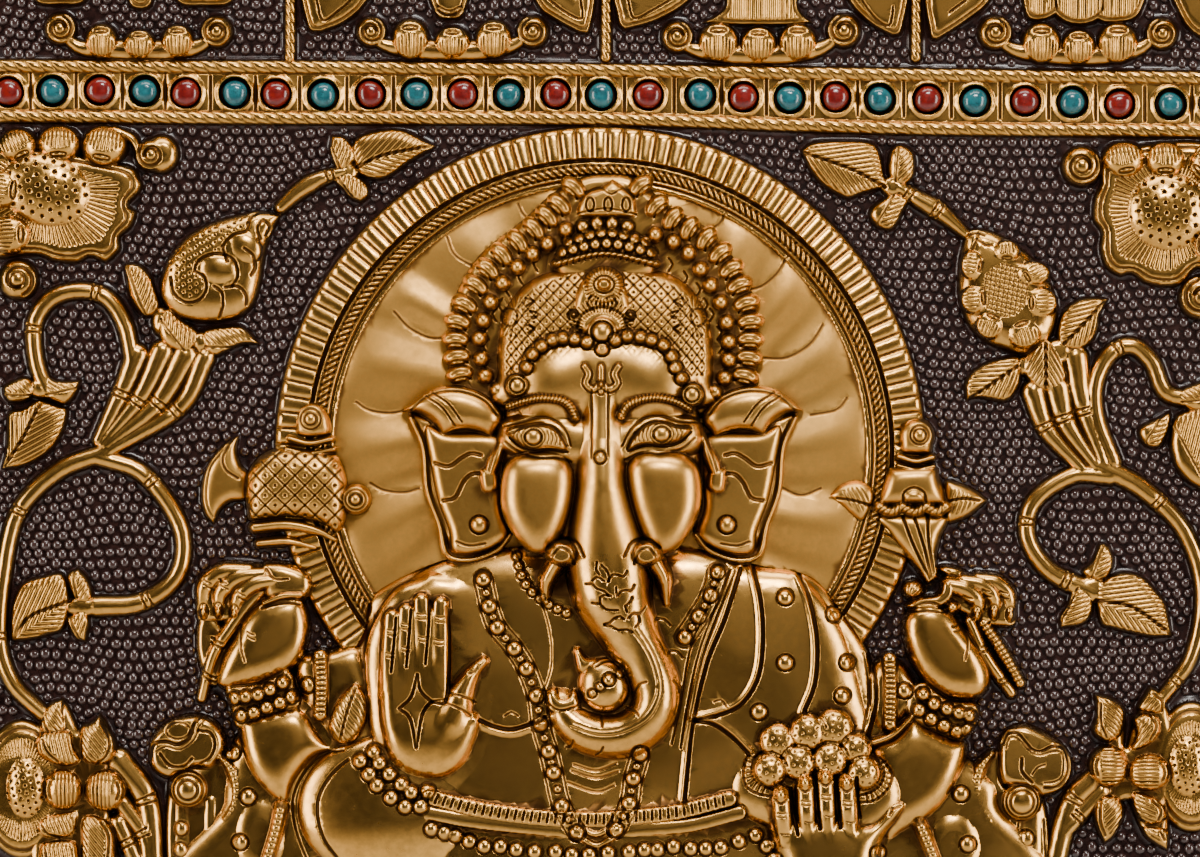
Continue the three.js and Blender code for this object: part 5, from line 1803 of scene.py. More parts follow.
def head_form():
    """One broad forehead with a bulge over each eye, the brow and the cheeks."""
    head = [
        (504, 420), (510, 384), (528, 356), (562, 344), (602, 350), (640, 340), (672, 354), (690, 384),
        (699, 420), (702, 460), (700, 500), (688, 530), (668, 552), (632, 562), (602, 566), (570, 560),
        (540, 553), (514, 530), (502, 500), (500, 460),
    ]
    boss(head, 9, 17.6, power=0.62, stride=4)
    oval(602, 376, 97, 54, 10, 21.4, power=0.85, blend=1.5)
    oval(556, 384, 46, 44, 15, 22.3, power=1.5, blend=3.0, turn=-0.15)
    oval(648, 384, 46, 44, 15, 22.3, power=1.5, blend=3.0, turn=0.15)
    brow_ridge = [
        (500, 424), (524, 410), (560, 408), (602, 414), (644, 408), (680, 410), (702, 424), (700, 452),
        (660, 466), (602, 470), (544, 466), (502, 452),
    ]
    boss(brow_ridge, 10, 20.4, edge=24, blend=1.5)
    trunk_root = [(602, 372), (602, 430), (602, 480)]
    tube(trunk_root, [40, 50, 58], 10, [20.8, 22.6, 24.0], power=1.1, blend=2.5)
    # Cheeks stand out like long drops on each side of the trunk's root.
    left_cheek = [
        (503, 474), (514, 457), (538, 452), (560, 455), (573, 470), (573, 498), (564, 528), (550, 549),
        (533, 552), (514, 534), (502, 507),
    ]
    boss(left_cheek, 17.5, 24.0, power=1.15, blend=3.0)
    right_cheek = [
        (699, 472), (686, 456), (662, 450), (640, 453), (627, 468), (630, 500), (640, 530), (653, 550),
        (671, 551), (688, 534), (700, 505),
    ]
    boss(right_cheek, 17.5, 24.0, power=1.15, blend=3.0)


def trunk_form():
    trunk = [
        (601, 452), (602, 490), (606, 540), (612, 590), (628, 630), (646, 662), (656, 690), (649, 716),
        (624, 733), (592, 732), (569, 717), (562, 700),
    ]
    widths = [50, 58, 74, 88, 84, 66, 53, 50, 48, 46, 42, 30]
    tops = [23.2, 24.2, 25, 25, 24.6, 23.4, 22.2, 21.4, 20.8, 20, 18.8, 17]
    tube(trunk, widths, 11, tops, power=0.9, blend=2.0)


def trunk_marks():
    trunk_lines = (
        [(630, 626), (646, 648), (655, 672), (655, 692), (643, 712), (620, 725), (597, 727), (574, 720)],
        [(638, 626), (652, 648), (660, 672), (660, 694), (648, 716), (622, 730), (597, 732), (571, 724)],
    )
    for line in trunk_lines:
        groove(line, 1.3, 0.35, dark=0.6)
    trunk_strokes = (
        [(656, 617), (664, 618), (670, 624)],
        [(670, 649), (677, 650), (682, 656)],
        [(673, 678), (677, 682), (679, 690)],
        [(634, 690), (638, 682), (646, 679)],
        [(626, 705), (634, 708), (638, 713)],
        [(602, 713), (602, 724)],
        [(573, 738), (571, 744), (566, 745)],
        [(603, 744), (601, 749), (596, 752)],
    )
    for stroke in trunk_strokes:
        groove(stroke, 1.7, 0.6)


def tusks():
    """Both tusks, each with the lip that it grows from."""
    for x, sign in ((562, 1), (646, -1)):
        oval(x, 552, 17, 14, 14, 25.2, edge=8)
        groove([(x - sign * 13, 546), (x, 538), (x + sign * 14, 541), (x + sign * 22, 555)], 2.2, 0.9)
        inner_line = [(x - sign * 9, 554), (x - sign * 2, 546), (x + sign * 8, 550), (x + sign * 12, 562)]
        groove(inner_line, 2.0, 0.8)
    left_tusk = [(556, 562), (547, 580), (546, 600)]
    tube(left_tusk, [22, 20, 9], 12, [22, 20.4, 16])
    right_tusk = [(656, 562), (664, 578), (666, 602)]
    tube(right_tusk, [22, 18, 9], 12, [22, 20.4, 16])


def held_sweet():
    """The sweet held in the trunk, with its leaf."""
    stalk = [(573, 648), (580, 645), (588, 655), (598, 656), (590, 670), (578, 672)]
    boss(stalk, 12, 17.4, edge=8)
    oval(604, 683, 27, 29, 11, 19.6, power=0.8, turn=-0.4)
    beads([(609, 677)], 6.5, 1.8, ring=0.8)
    sweet_dots = [(600, 684), (592, 691), (620, 671)]
    beads(sweet_dots, 4.6, 1.2, ring=0.5)
    sweet_line = [(596, 664), (606, 659), (622, 664), (630, 680)]
    groove(sweet_line, 1.6, 0.5)
    leaf = [
        (545, 690), (556, 684), (564, 694), (575, 686), (582, 704), (570, 712), (556, 714), (547, 706),
    ]
    boss(leaf, 12, 18, edge=9)
    leaf_line = [(546, 700), (560, 708), (580, 703)]
    groove(leaf_line, 1.8, 0.7)


def face():
    head_form()
    trunk_form()
    eyes()
    trunk_marks()
    flames()
    tusks()
    held_sweet()


def face_marks():
    strand = [
        (527, 368), (533, 355), (542, 347), (553, 341), (563, 339), (575, 340), (587, 343), (602, 350),
        (615, 341), (627, 337), (640, 338), (651, 341), (663, 346), (671, 357), (675, 368), (681, 379),
    ]
    tube(strand, 14, 14, 20.6, floor=0.6)
    beads(strand, 6.6, 2.4, ring=0.7)
    for x, y in ((518, 386), (691, 395)):
        oval(x, y, 12, 12, 14, 21.6, edge=4)
        beads([(x, y)], 7, 1.4, ring=0.9)
    window = Window([(592, 388), (608, 458)], margin=3)
    strip = smooth_step((8.5 - np.abs(window.x - 600)) / 1.5) * (window.y > 388) * (window.y < 458)
    height[window.index] += 0.35 * strip
    groove([(591.5, 390), (591.5, 458)], 1.4, 0.5)
    groove([(608, 390), (608, 456)], 1.4, 0.5)
    trident = (
        [(585, 367), (589, 375), (586, 384), (593, 390), (600, 385)],
        [(618, 367), (614, 375), (617, 384), (610, 390), (602, 385)],
        [(601, 367), (601, 392)],
    )
    for path in trident:
        window = Window(np.array(path), margin=6)
        distance = along_path(smooth_curve(path), window)[0]
        rib = np.sqrt(np.clip(1 - (distance / 3.4) ** 2, 0, 1))
        height[window.index] += 0.9 * rib
        # Round each rib the metal is cut a little and painted dark: patina with painted shade.
        edge = np.exp(-((distance - 3.6) / 1.0) ** 2)
        worked_patina_and_shade[window.index] = np.maximum(worked_patina_and_shade[window.index], 0.75 * edge)
        height[window.index] -= 0.3 * edge
    beads([(600, 457)], 6, 1.6, ring=0.7)


def strings():
    # The ribbed belt runs behind the strings.
    belt = [(430, 794), (480, 806), (540, 814), (596, 816), (640, 813), (680, 808), (728, 796)]
    lower_belt = [(430, 810), (480, 819), (560, 827), (596, 828), (640, 826), (690, 822), (738, 810)]
    tube(lower_belt, 14, 12, 16.4, power=0.5, floor=0.7)
    tube(belt, 15, 12, 17.0, power=0.5, floor=0.7)
    across_path(belt, 8, 9, 2.0, 0.8, lean=0.1)
    sags = ([(580, 824), (596, 831), (612, 824)], [(581, 834), (597, 842), (614, 833)])
    for sag in sags:
        tube(sag, 9, 12, 17.2, power=0.6)
    left = [
        (484, 578), (490, 605), (498, 626), (515, 647), (527, 667), (537, 694), (541, 722), (549, 749),
        (554, 770), (562, 803), (577, 829),
    ]
    right = [(640, 752), (633, 776), (629, 800), (616, 826)]
    necklace = [(717, 571), (710, 594), (698, 615), (684, 636)]
    for row, edge in ((left, 9), (right, 9), (necklace, 10)):
        path = smooth_curve(row)
        window = Window(path, margin=14)
        distance = along_path(path, window)[0]
        engrave(window, np.clip(1 - ((distance - edge) / 1.6) ** 2, 0, 1), 0.5, 0.7)
        beads(row, 7.6, 2.1, ring=0.5)
        beads([((a[0] + b[0]) / 2, (a[1] + b[1]) / 2) for a, b in zip(row, row[1:])], 4.2, 1.2, ring=0.3)
    beads(list(along([(515, 545), (525, 580), (545, 600), (568, 612)], 10)[0]), 5, 1.4, ring=0.4)
    cluster = [
        (375, 749), (362, 758), (381, 760), (371, 771), (391, 771), (379, 782), (403, 781), (413, 789),
        (429, 788), (393, 794), (407, 803), (422, 803),
    ]
    beads(cluster, 7.8, 2.4, ring=0.5)
    row_left = [
        (433, 826), (446, 830), (457, 833), (470, 838), (485, 843), (501, 843), (517, 846), (535, 848),
        (556, 848), (572, 851), (589, 851),
    ]
    row_right = [
        (608, 849), (629, 848), (644, 846), (657, 846), (673, 843), (690, 845), (705, 845), (720, 844),
        (738, 838), (755, 832), (766, 843), (773, 856),
    ]
    for row in (row_left, row_right):
        beads(row, 7.4, 2.0, ring=0.5)
    folds = (
        [(574, 762), (596, 768), (616, 761)],
        [(572, 768), (596, 775), (618, 769)],
        [(568, 780), (596, 789), (614, 783)],
    )
    for fold in folds:
        groove(fold, 2.2, 0.5, dark=0.35)
    studs = [
        (784, 596), (833, 613), (784, 661), (846, 661), (841, 694), (758, 710), (876, 850), (309, 684),
        (903, 689), (234, 751), (250, 795), (242, 840), (959, 792), (966, 842),
    ]
    beads(studs, 8, 1.8, ring=0.7)


def lip(points, width=2.6, rise=0.7, depth=0.9):
    """A cloth edge: a dark line with a raised lip on its left side, seen along the path."""
    path = smooth_curve(points)
    window = Window(path, margin=12)
    distance, side = along_path(path, window)[:2]
    across = distance * side
    height[window.index] += rise * np.exp(-((across - 4.2) / 2.4) ** 2)
    engrave(window, np.clip(1 - (across / width) ** 2, 0, 1) ** 1.5, depth, 0.95)


def robe_lines():
    border_lines = (
        [(722, 568), (704, 612), (690, 645), (680, 700), (671, 742)],
        [(729, 569), (712, 612), (697, 655), (686, 706), (680, 746)],
        [(734, 570), (717, 612), (702, 655), (690, 710), (684, 748)],
    )
    for line in border_lines:
        groove(line, 1.7, 0.6)
    front_edge = [(740, 568), (724, 618), (707, 660), (693, 717), (688, 760), (684, 800)]
    lip(front_edge)
    front_fold = [(752, 566), (760, 600), (762, 640), (757, 676), (741, 702), (718, 713), (694, 718)]
    lip(front_fold)
    fork_fold = [(747, 751), (730, 734), (712, 722), (694, 719)]
    lip(fork_fold)
    shoulder_fold = [(796, 568), (809, 600), (816, 640), (814, 680), (803, 710)]
    lip(shoulder_fold)
    side_fold = [(868, 655), (874, 680), (874, 706), (866, 738)]
    lip(side_fold)
    side_line = [(862, 652), (868, 690), (860, 736)]
    groove(side_line, 1.5, 0.4)
    right_crescent = [(713, 700), (720, 698), (727, 706)]
    groove(right_crescent, 1.6, 0.5)
    left_crescent = [(505, 714), (512, 710), (519, 714)]
    groove(left_crescent, 1.6, 0.5)
    sash = [(481, 718), (495, 724), (512, 727), (530, 722), (546, 715)]
    lip(sash)
    chest_line = [(515, 548), (545, 610), (552, 660), (540, 700)]
    groove(chest_line, 1.8, 0.4)
    for x, low, high in ((322, 655, 712), (888, 658, 722)):
        tube([(x, low), (x + 1, (low + high) / 2), (x, high)], 15, 8, 13, floor=0.5)
        across_path([(x, low), (x + 1, (low + high) / 2), (x, high)], 5.2, 8, 1.7, 0.7, start=3)
        for side in (-6.5, 6.5):
            groove([(x + side, low), (x + side + 1, (low + high) / 2), (x + side, high)], 1.4, 0.5)
    sleeve_leaf = [
        (355, 682), (345, 690), (335, 705), (330, 725), (338, 740), (350, 742), (360, 735), (368, 720),
        (370, 700), (362, 685),
    ]
    window, reach = boss(sleeve_leaf, 9, 14, power=0.85)
    hatch(window, reach, 0.9, 6, 0.5)
    leaf_vein = [(357, 686), (348, 712), (342, 738)]
    groove(leaf_vein, 2.0, 0.7)
    strips = ([(283, 805), (277, 830), (268, 860)], [(918, 822), (928, 845), (937, 868)])
    for strip in strips:
        ribbed_strip(strip, 17, 8, 13)


def build_figure():
    left_rear_hand()
    right_rear_hand()
    scarves()
    robe()
    arms()
    crown()
    ears()
    face()
    raised_hand()
    bowl_hand()
    face_marks()
    strings()
    robe_lines()


def smooth_ground():
    """The ground between the forms: a soft dark fillet round each of them, and a slight swell."""
    x, y = COLUMN_PLACES, ROW_PLACES
    swell = 0.1 * np.sin(x / 31 + 1) * np.sin(y / 27) + 0.08 * np.sin((x + y) / 19)
    fillet = 0.7 * np.exp(np.minimum(gold, 0) / 2.0)
    height[:] = np.where(gold <= 0, np.minimum(GROUND, height) + fillet + swell, height)


# The pebbles: distances in drawing units and rises in millimetres.
PEBBLE_PITCH = 11.9
PEBBLE_ROW = 10.3
PEBBLE_SIDES = 10
PEBBLE_RADII = 5.3, 6.3
PEBBLE_RISES = 1.1, 1.4
PEBBLE_RINGS = [(1.0, -0.15), (0.88, 0.42), (0.5, 0.86)]  # shares of the radius and of the rise
FORM_DISTANCE = 5.6
PEBBLE_DISTANCE = 11.2
PEBBLE_CLASH = 8.2
PEBBLE_ROOM = 4.2
SETTLING_ROUNDS = 6


def pebble_places():
    """Middles and radii of the bumps punched in wavy, staggered rows between the forms."""
    rows, columns = int(GRID_HEIGHT / PEBBLE_ROW) + 6, int(GRID_WIDTH / PEBBLE_PITCH) + 4
    r, c = np.mgrid[-2:rows - 2, -1:columns - 1]
    px = (c + 0.5 * (r % 2)) * PEBBLE_PITCH + rng.uniform(-1.6, 1.6, r.shape)
    py = r * PEBBLE_ROW + rng.uniform(-1.4, 1.4, r.shape)
    x = (px + 4 * np.sin(py / 37) + 2 * np.sin(py / 17 + px / 90)).ravel()
    y = (py + 5 * np.sin(px / 47 + py / 61) + 3 * np.sin(px / 23 - py / 39)).ravel()
    down, across = np.gradient(gold)

    def look(field, x, y):
        return sample(field, np.clip(x / STEP_X, 0, COLUMNS), np.clip(y / STEP_Y, 0, ROWS))

    keep = (x > -4) & (x < GRID_WIDTH + 4) & (y > -4) & (y < GRID_HEIGHT + 4) & (look(gold, x, y) < -0.5)
    x, y = x[keep], y[keep]
    # Those too near a form move off it, and all of them settle among their neighbours.
    for _ in range(SETTLING_ROUNDS):
        short = np.clip(FORM_DISTANCE + look(gold, x, y), 0, 6)
        gx, gy = look(across, x, y) / STEP_X, look(down, x, y) / STEP_Y
        steep = np.maximum(np.hypot(gx, gy), 0.3)
        x, y = x - short * gx / steep, y - short * gy / steep
        dx = (x[:, None] - x[None]).astype(np.float32)
        dy = (y[:, None] - y[None]).astype(np.float32)
        away = np.sqrt(dx * dx + dy * dy) + 1e-3
        push = np.clip(PEBBLE_DISTANCE - away, 0, 6) * (away > 0.01) / away * 0.25
        x, y = x + (push * dx).sum(1), y + (push * dy).sum(1)
    near = (away < PEBBLE_CLASH) & (np.arange(len(x))[:, None] > np.arange(len(x))[None])
    x, y = x[~near.any(1)], y[~near.any(1)]
    room = -look(gold, x, y)
    fits = (room > PEBBLE_ROOM) & (x > -3) & (x < GRID_WIDTH + 3) & (y > -3) & (y < GRID_HEIGHT + 3)
    x, y, room = x[fits], y[fits], room[fits]
    return x, y, np.minimum(rng.uniform(*PEBBLE_RADII, len(x)), room - 0.3)


def pebble_arrays():
    """Vertices in drawing units and millimetres, with faces and a crest value for the looks."""
    x, y, radius = pebble_places()
    count = len(x)
    base = sample(height, np.clip(x / STEP_X, 0, COLUMNS), np.clip(y / STEP_Y, 0, ROWS))
    rise = rng.uniform(*PEBBLE_RISES, count) * radius / 5.5
    turn = np.arange(PEBBLE_SIDES) / PEBBLE_SIDES * 2 * np.pi
    squash = rng.uniform(0.9, 1.1, count)
    start = rng.uniform(0, 6, count)
    points, crest = [], []
    for share, up in PEBBLE_RINGS:
        angle = turn[None, :] + start[:, None]
        px = x[:, None] + radius[:, None] * share * squash[:, None] * np.cos(angle)
        py = y[:, None] + radius[:, None] * share / squash[:, None] * np.sin(angle)
        pz = base[:, None] + rise[:, None] * up + 0 * px
        points.append(np.stack([px, py, pz], 2))
        crest.append(np.full(px.shape, max(up, 0.0)))
    top = np.stack([x, y, base + rise], 1)[:, None]
    points = np.concatenate(points + [top], 1)
    crest = np.concatenate(crest + [np.ones((count, 1))], 1)
    i = np.arange(PEBBLE_SIDES)
    j = (i + 1) % PEBBLE_SIDES
    faces = []
    for ring in range(len(PEBBLE_RINGS) - 1):
        a, b = ring * PEBBLE_SIDES + i, ring * PEBBLE_SIDES + j
        faces.append(np.stack([a, b, b + PEBBLE_SIDES], 1))
        faces.append(np.stack([a, b + PEBBLE_SIDES, a + PEBBLE_SIDES], 1))
    last = (len(PEBBLE_RINGS) - 1) * PEBBLE_SIDES
    faces.append(np.stack([last + i, last + j, np.full_like(i, last + PEBBLE_SIDES)], 1))
    faces.append(np.stack([np.zeros_like(i[2:]), i[2:], i[1:-1]], 1))
    faces = np.concatenate(faces)
    per = len(PEBBLE_RINGS) * PEBBLE_SIDES + 1
    faces = (faces[None] + (np.arange(count) * per)[:, None, None]).reshape(-1, 3)
    return points.reshape(-1, 3), faces, crest.ravel()


# The mesh of the sheet: an adaptive grid of right triangles over the samples.
TILE = 512
LATTICE = 64  # no triangle crosses the lines of this lattice of samples
ALWAYS_SPLIT = 1e9
FACES_FINE = 460_000
FACES_SHEET = 193_000
ERROR_LIMITS = 0.0005, 0.2
SEARCH_ROUNDS = 14
RIM_CATCH = 0.3


def midpoint_errors(field):
    """How far each sample lies off the edge that it would split, made to grow towards coarser levels."""
    error = np.zeros(field.shape, np.float32)
    size = 2
    while size <= TILE:
        half = size // 2
        rows, columns = (field.shape[0] - 1) // half, (field.shape[1] - 1) // half
        grid = field[::half, ::half]
        marks = error[::half, ::half]
        # Middles of the upright and of the level edges.
        upright = np.abs(grid[1::2, ::2] - (grid[:-2:2, ::2] + grid[2::2, ::2]) / 2)
        level = np.abs(grid[::2, 1::2] - (grid[::2, :-2:2] + grid[::2, 2::2]) / 2)
        if size > 2:
            quarter = half // 2
            centres = np.pad(error[quarter::half, quarter::half], 1)
            around = np.maximum(np.maximum(centres[:-1, :-1], centres[1:, :-1]),
                                np.maximum(centres[:-1, 1:], centres[1:, 1:]))
            upright = np.maximum(upright, around[1::2, ::2])
            level = np.maximum(level, around[::2, 1::2])
        marks[1::2, ::2] = upright
        marks[::2, 1::2] = level
        down = np.abs(grid[1::2, 1::2] - (grid[:-2:2, :-2:2] + grid[2::2, 2::2]) / 2)
        up = np.abs(grid[1::2, 1::2] - (grid[:-2:2, 2::2] + grid[2::2, :-2:2]) / 2)
        r = np.arange(rows // 2)[:, None]
        c = np.arange(columns // 2)[None, :]
        middle = np.where((r + c) % 2 == 0, down, up)
        around = np.maximum(np.maximum(upright[:, :-1], upright[:, 1:]),
                            np.maximum(level[:-1], level[1:]))
        marks[1::2, 1::2] = np.maximum(middle, around)
        size *= 2
    return error


def grid_triangles(error, limit):
    """The triangles whose longest edge needs no further split."""
    tiles_down, tiles_across = ROWS // TILE, COLUMNS // TILE
    apex, left, right = [], [], []
    for r in range(tiles_down):
        for c in range(tiles_across):
            y, x = r * TILE, c * TILE
            corners = [(y, x), (y, x + TILE), (y + TILE, x + TILE), (y + TILE, x)]
            if (r + c) % 2:
                corners = corners[1:] + corners[:1]
            a, b, d, e = corners
            apex += [b, e]
            left += [a, d]
            right += [d, a]
    apex, left, right = (np.array(p, np.int32) for p in (apex, left, right))
    leaves = []
    while len(apex):
        middle = (left + right) // 2
        whole = np.abs(left - right).sum(1) > 1
        whole &= ((left + right) % 2 == 0).all(1)
        split = whole & (error[middle[:, 0], middle[:, 1]] > limit)
        leaves.append(np.stack([apex[~split], left[~split], right[~split]], 1))
        a, l, r, m = apex[split], left[split], right[split], middle[split]
        apex = np.concatenate([m, m])
        left = np.concatenate([a, r])
        right = np.concatenate([l, a])
    return np.concatenate(leaves)


def sample(field, u, v):
    """Reads a field between its samples: u and v are in samples across and down."""
    i = np.clip(v.astype(int), 0, ROWS - 1)
    j = np.clip(u.astype(int), 0, COLUMNS - 1)
    fv, fu = v - i, u - j
    top = field[i, j] * (1 - fu) + field[i, j + 1] * fu
    low = field[i + 1, j] * (1 - fu) + field[i + 1, j + 1] * fu
    return top * (1 - fv) + low * fv


def mesh_from(vertices, faces, name):
    mesh = bpy.data.meshes.new(name)
    mesh.vertices.add(len(vertices))
    mesh.vertices.foreach_set("co", np.asarray(vertices, np.float32).ravel())
    mesh.loops.add(faces.size)
    mesh.loops.foreach_set("vertex_index", faces.ravel().astype(np.int32))
    mesh.polygons.add(len(faces))
    mesh.polygons.foreach_set("loop_start", np.arange(len(faces), dtype=np.int32) * 3)
    mesh.update(calc_edges=True)
    return mesh


def thinned(vertices, faces, count):
    """The same surface in about count faces."""
    mesh = mesh_from(vertices, faces, "thinning")
    thing = bpy.data.objects.new("thinning", mesh)
    bpy.context.scene.collection.objects.link(thing)
    modifier = thing.modifiers.new("thin", "DECIMATE")
    modifier.ratio = count / len(faces)
    shown = thing.evaluated_get(bpy.context.evaluated_depsgraph_get())
    result = shown.to_mesh()
    points = np.empty(len(result.vertices) * 3, np.float32)
    result.vertices.foreach_get("co", points)
    result.calc_loop_triangles()
    corners = np.empty(len(result.loop_triangles) * 3, np.int32)
    result.loop_triangles.foreach_get("vertices", corners)
    shown.to_mesh_clear()
    bpy.data.objects.remove(thing)
    bpy.data.meshes.remove(mesh)
    return points.reshape(-1, 3), corners.reshape(-1, 3)


def blurred(field, radius):
    """The mean over a square, twice, which is close to a soft blur."""
    for _ in range(2):
        for axis in (0, 1):
            pad = [(radius + 1, radius) if a == axis else (0, 0) for a in (0, 1)]
            total = np.cumsum(np.pad(field, pad, mode="edge"), axis=axis, dtype=np.float64)
            width = 2 * radius + 1
            ahead = [slice(None), slice(None)]
            behind = [slice(None), slice(None)]
            ahead[axis] = slice(width, None)
            behind[axis] = slice(None, -width)
            field = ((total[tuple(ahead)] - total[tuple(behind)]) / width).astype(np.float32)
    return field


def surface_mesh(field, edges, crop):
    """An adaptive mesh of a height field inside crop: first and last sample across, then down."""
    error = midpoint_errors(field + edges)
    error[::LATTICE, ::LATTICE] = ALWAYS_SPLIT
    low, high = ERROR_LIMITS
    for _ in range(SEARCH_ROUNDS):
        limit = (low * high) ** 0.5
        triangles = grid_triangles(error, limit)
        middle = triangles.mean(1)
        inside = (middle[:, 0] > crop[2]) & (middle[:, 0] < crop[3])
        inside &= (middle[:, 1] > crop[0]) & (middle[:, 1] < crop[1])
        triangles = triangles[inside]
        if len(triangles) > FACES_FINE:
            low = limit
        else:
            high = limit
        if 0.9 * FACES_FINE < len(triangles) < 1.05 * FACES_FINE:
            break
    keys = triangles[..., 0].astype(np.int64) * (COLUMNS + 1) + triangles[..., 1]
    used, faces = np.unique(keys, return_inverse=True)
    faces = faces.reshape(-1, 3)
    v, u = used // (COLUMNS + 1), used % (COLUMNS + 1)
    points = np.stack([u * STEP_X, -v * STEP_Y, field[v, u] / MILLIMETRES], 1)
    points, faces = thinned(points, faces, FACES_SHEET)
    # The rim goes back to its straight lines, and every height is read again from the relief.
    x, y = points[:, 0], -points[:, 1]
    limits = (
        (x, crop[0] * STEP_X, crop[1] * STEP_X),
        (y, crop[2] * STEP_Y, crop[3] * STEP_Y),
    )
    for values, first, last in limits:
        values[values < first + RIM_CATCH] = first
        values[values > last - RIM_CATCH] = last
    u, v = x / STEP_X, y / STEP_Y
    return x, y, u, v, sample(field, u, v), faces


def border_loop(faces, count):
    """The vertices round the rim, in order."""
    edges = np.concatenate([faces[:, [0, 1]], faces[:, [1, 2]], faces[:, [2, 0]]]).astype(np.int64)
    forward = edges[:, 0] * count + edges[:, 1]
    backward = edges[:, 1] * count + edges[:, 0]
    rim = edges[~np.isin(forward, backward)]
    follows = dict(zip(rim[:, 0].tolist(), rim[:, 1].tolist()))
    start = int(rim[0, 0])
    loop = [start]
    while follows[loop[-1]] != start:
        loop.append(follows[loop[-1]])
    return np.array(loop)


REST = {"gold": 1.0, "worked_patina_and_shade": 0.0, "hollow": 0.5, "satin": 0.0}


def write_faces(mesh, vertices, threes, ring, smooth):
    """Fills a mesh with triangles, and with one ring of vertices as its flat back."""
    mesh.vertices.add(len(vertices))
    mesh.vertices.foreach_set("co", vertices.astype(np.float32).ravel())
    corners = np.concatenate([threes.ravel(), ring]).astype(np.int32)
    mesh.loops.add(len(corners))
    mesh.loops.foreach_set("vertex_index", corners)
    mesh.polygons.add(len(threes) + 1)
    starts = np.concatenate([np.arange(len(threes)) * 3, [len(threes) * 3]]).astype(np.int32)
    mesh.polygons.foreach_set("loop_start", starts)
    mesh.update(calc_edges=True)
    mesh.polygons.foreach_set("use_smooth", smooth)


def face_directions(vertices, faces):
    """The direction of each face, as long as the face is large."""
    a, b, c = (vertices[faces[:, i]] for i in range(3))
    return np.cross(b - a, c - a)


def surface_slopes(front, faces):
    """Directions at the vertices. Large faces count for more, so that flat parts stay flat."""
    area = face_directions(front, faces)
    return np.stack([
        sum(np.bincount(faces[:, corner], area[:, axis], len(front)) for corner in range(3))
        for axis in range(3)
    ], 1)


def rim_slopes(field, u, v):
    """Directions along the rim, from the relief itself, so that neighbouring bodies shade alike."""
    across = sample(field, u + 1, v) - sample(field, u - 1, v)
    across = across / (2 * STEP_X * UNIT)
    down = sample(field, u, v + 1) - sample(field, u, v - 1)
    down = down / (2 * STEP_Y * UNIT)
    rise = METRES_PER_MILLIMETRE
    return np.stack([-rise * across, -np.ones(len(u)), rise * down], 1)


def wall_normals(vertices, walls):
    flat = face_directions(vertices, walls)
    return flat / np.maximum(np.linalg.norm(flat, axis=1, keepdims=True), 1e-12)


def relief_mesh(name, field, back_depth, crop, values, grow=0.0):
    """A closed body: a relief in front, straight sides and a flat back."""
    edges = 0.04 * np.clip(values["gold"] * 24 - 12, -2.5, 2.5) + 0.05 * values["worked_patina_and_shade"]
    x, y, u, v, z, faces = surface_mesh(field, edges, crop)
    y = y + grow * (y > GRID_HEIGHT - 0.01)
    front = np.stack([(x - MIDDLE_X) * UNIT, -z * METRES_PER_MILLIMETRE, (MIDDLE_Y - y) * UNIT], 1)
    if face_directions(front, faces)[:, 1].sum() > 0:
        faces = faces[:, ::-1]
    loop = border_loop(faces, len(front))
    back = front[loop] * (1, 0, 1) - (0, back_depth * METRES_PER_MILLIMETRE, 0)
    count, rim = len(front), len(loop)
    after = np.roll(np.arange(rim), -1)
    walls = np.concatenate([
        np.stack([loop[after], loop, count + np.arange(rim)], 1),
        np.stack([loop[after], count + np.arange(rim), count + after], 1),
    ])
    mesh = bpy.data.meshes.new(name)
    vertices = np.concatenate([front, back])
    smooth = np.concatenate([np.ones(len(faces), bool), np.zeros(len(walls) + 1, bool)])
    write_faces(mesh, vertices, np.concatenate([faces, walls]), count + np.arange(rim)[::-1], smooth)
    slopes = surface_slopes(front, faces)
    slopes[loop] = rim_slopes(field, u[loop], v[loop])
    slopes /= np.linalg.norm(slopes, axis=1, keepdims=True)
    normals = np.concatenate([
        slopes[faces.ravel()],
        np.repeat(wall_normals(vertices, walls), 3, axis=0),
        np.tile([[0.0, 1.0, 0.0]], (rim, 1)),
    ])
    mesh.normals_split_custom_set(normals.tolist())
    for key, field_of in values.items():
        seen = np.full(len(vertices), REST[key], np.float32)
        seen[:count] = sample(field_of, u, v)
        attribute = mesh.attributes.new(key, "FLOAT", "POINT")
        attribute.data.foreach_set("value", seen)
    return mesh


def gilding(reach):
    """How far inside the gold, as a share: a half is on the edge of the paint."""
    return np.clip(reach / 12, -1, 1) * 0.5 + 0.5


def looks_of(field, reach, lines_dark, brushed):
    """The values that the brass reads at every vertex."""
    # How far each point lies below its surroundings; the brass paints patina with painted shade there.
    hollow = np.clip(0.5 + (blurred(field, 3) - field) / 1.6, 0, 1)
    return {
        "gold": gilding(reach),
        "worked_patina_and_shade": lines_dark,
        "hollow": hollow,
        "satin": brushed,
    }


# Where the two bodies of the ground part, and the box of the figure with its parting, in samples.
GROUND_PARTING = 768
FIGURE_LEFT = 192
FIGURE_RIGHT = 1408
FIGURE_TOP = 192
FIGURE_PARTING = 640

# Heights and depths of the sheet, in millimetres.
DENTS = 0.38
FIGURE_RIM = 2.4
FIGURE_DEPTH = 2.0
UNDER_FIGURE = 3.2

# The head is brushed, down to about the chin.
CHIN = 575
CHIN_FADE = 40
HEAD_SATIN = 0.5
FAR_INSIDE = 99


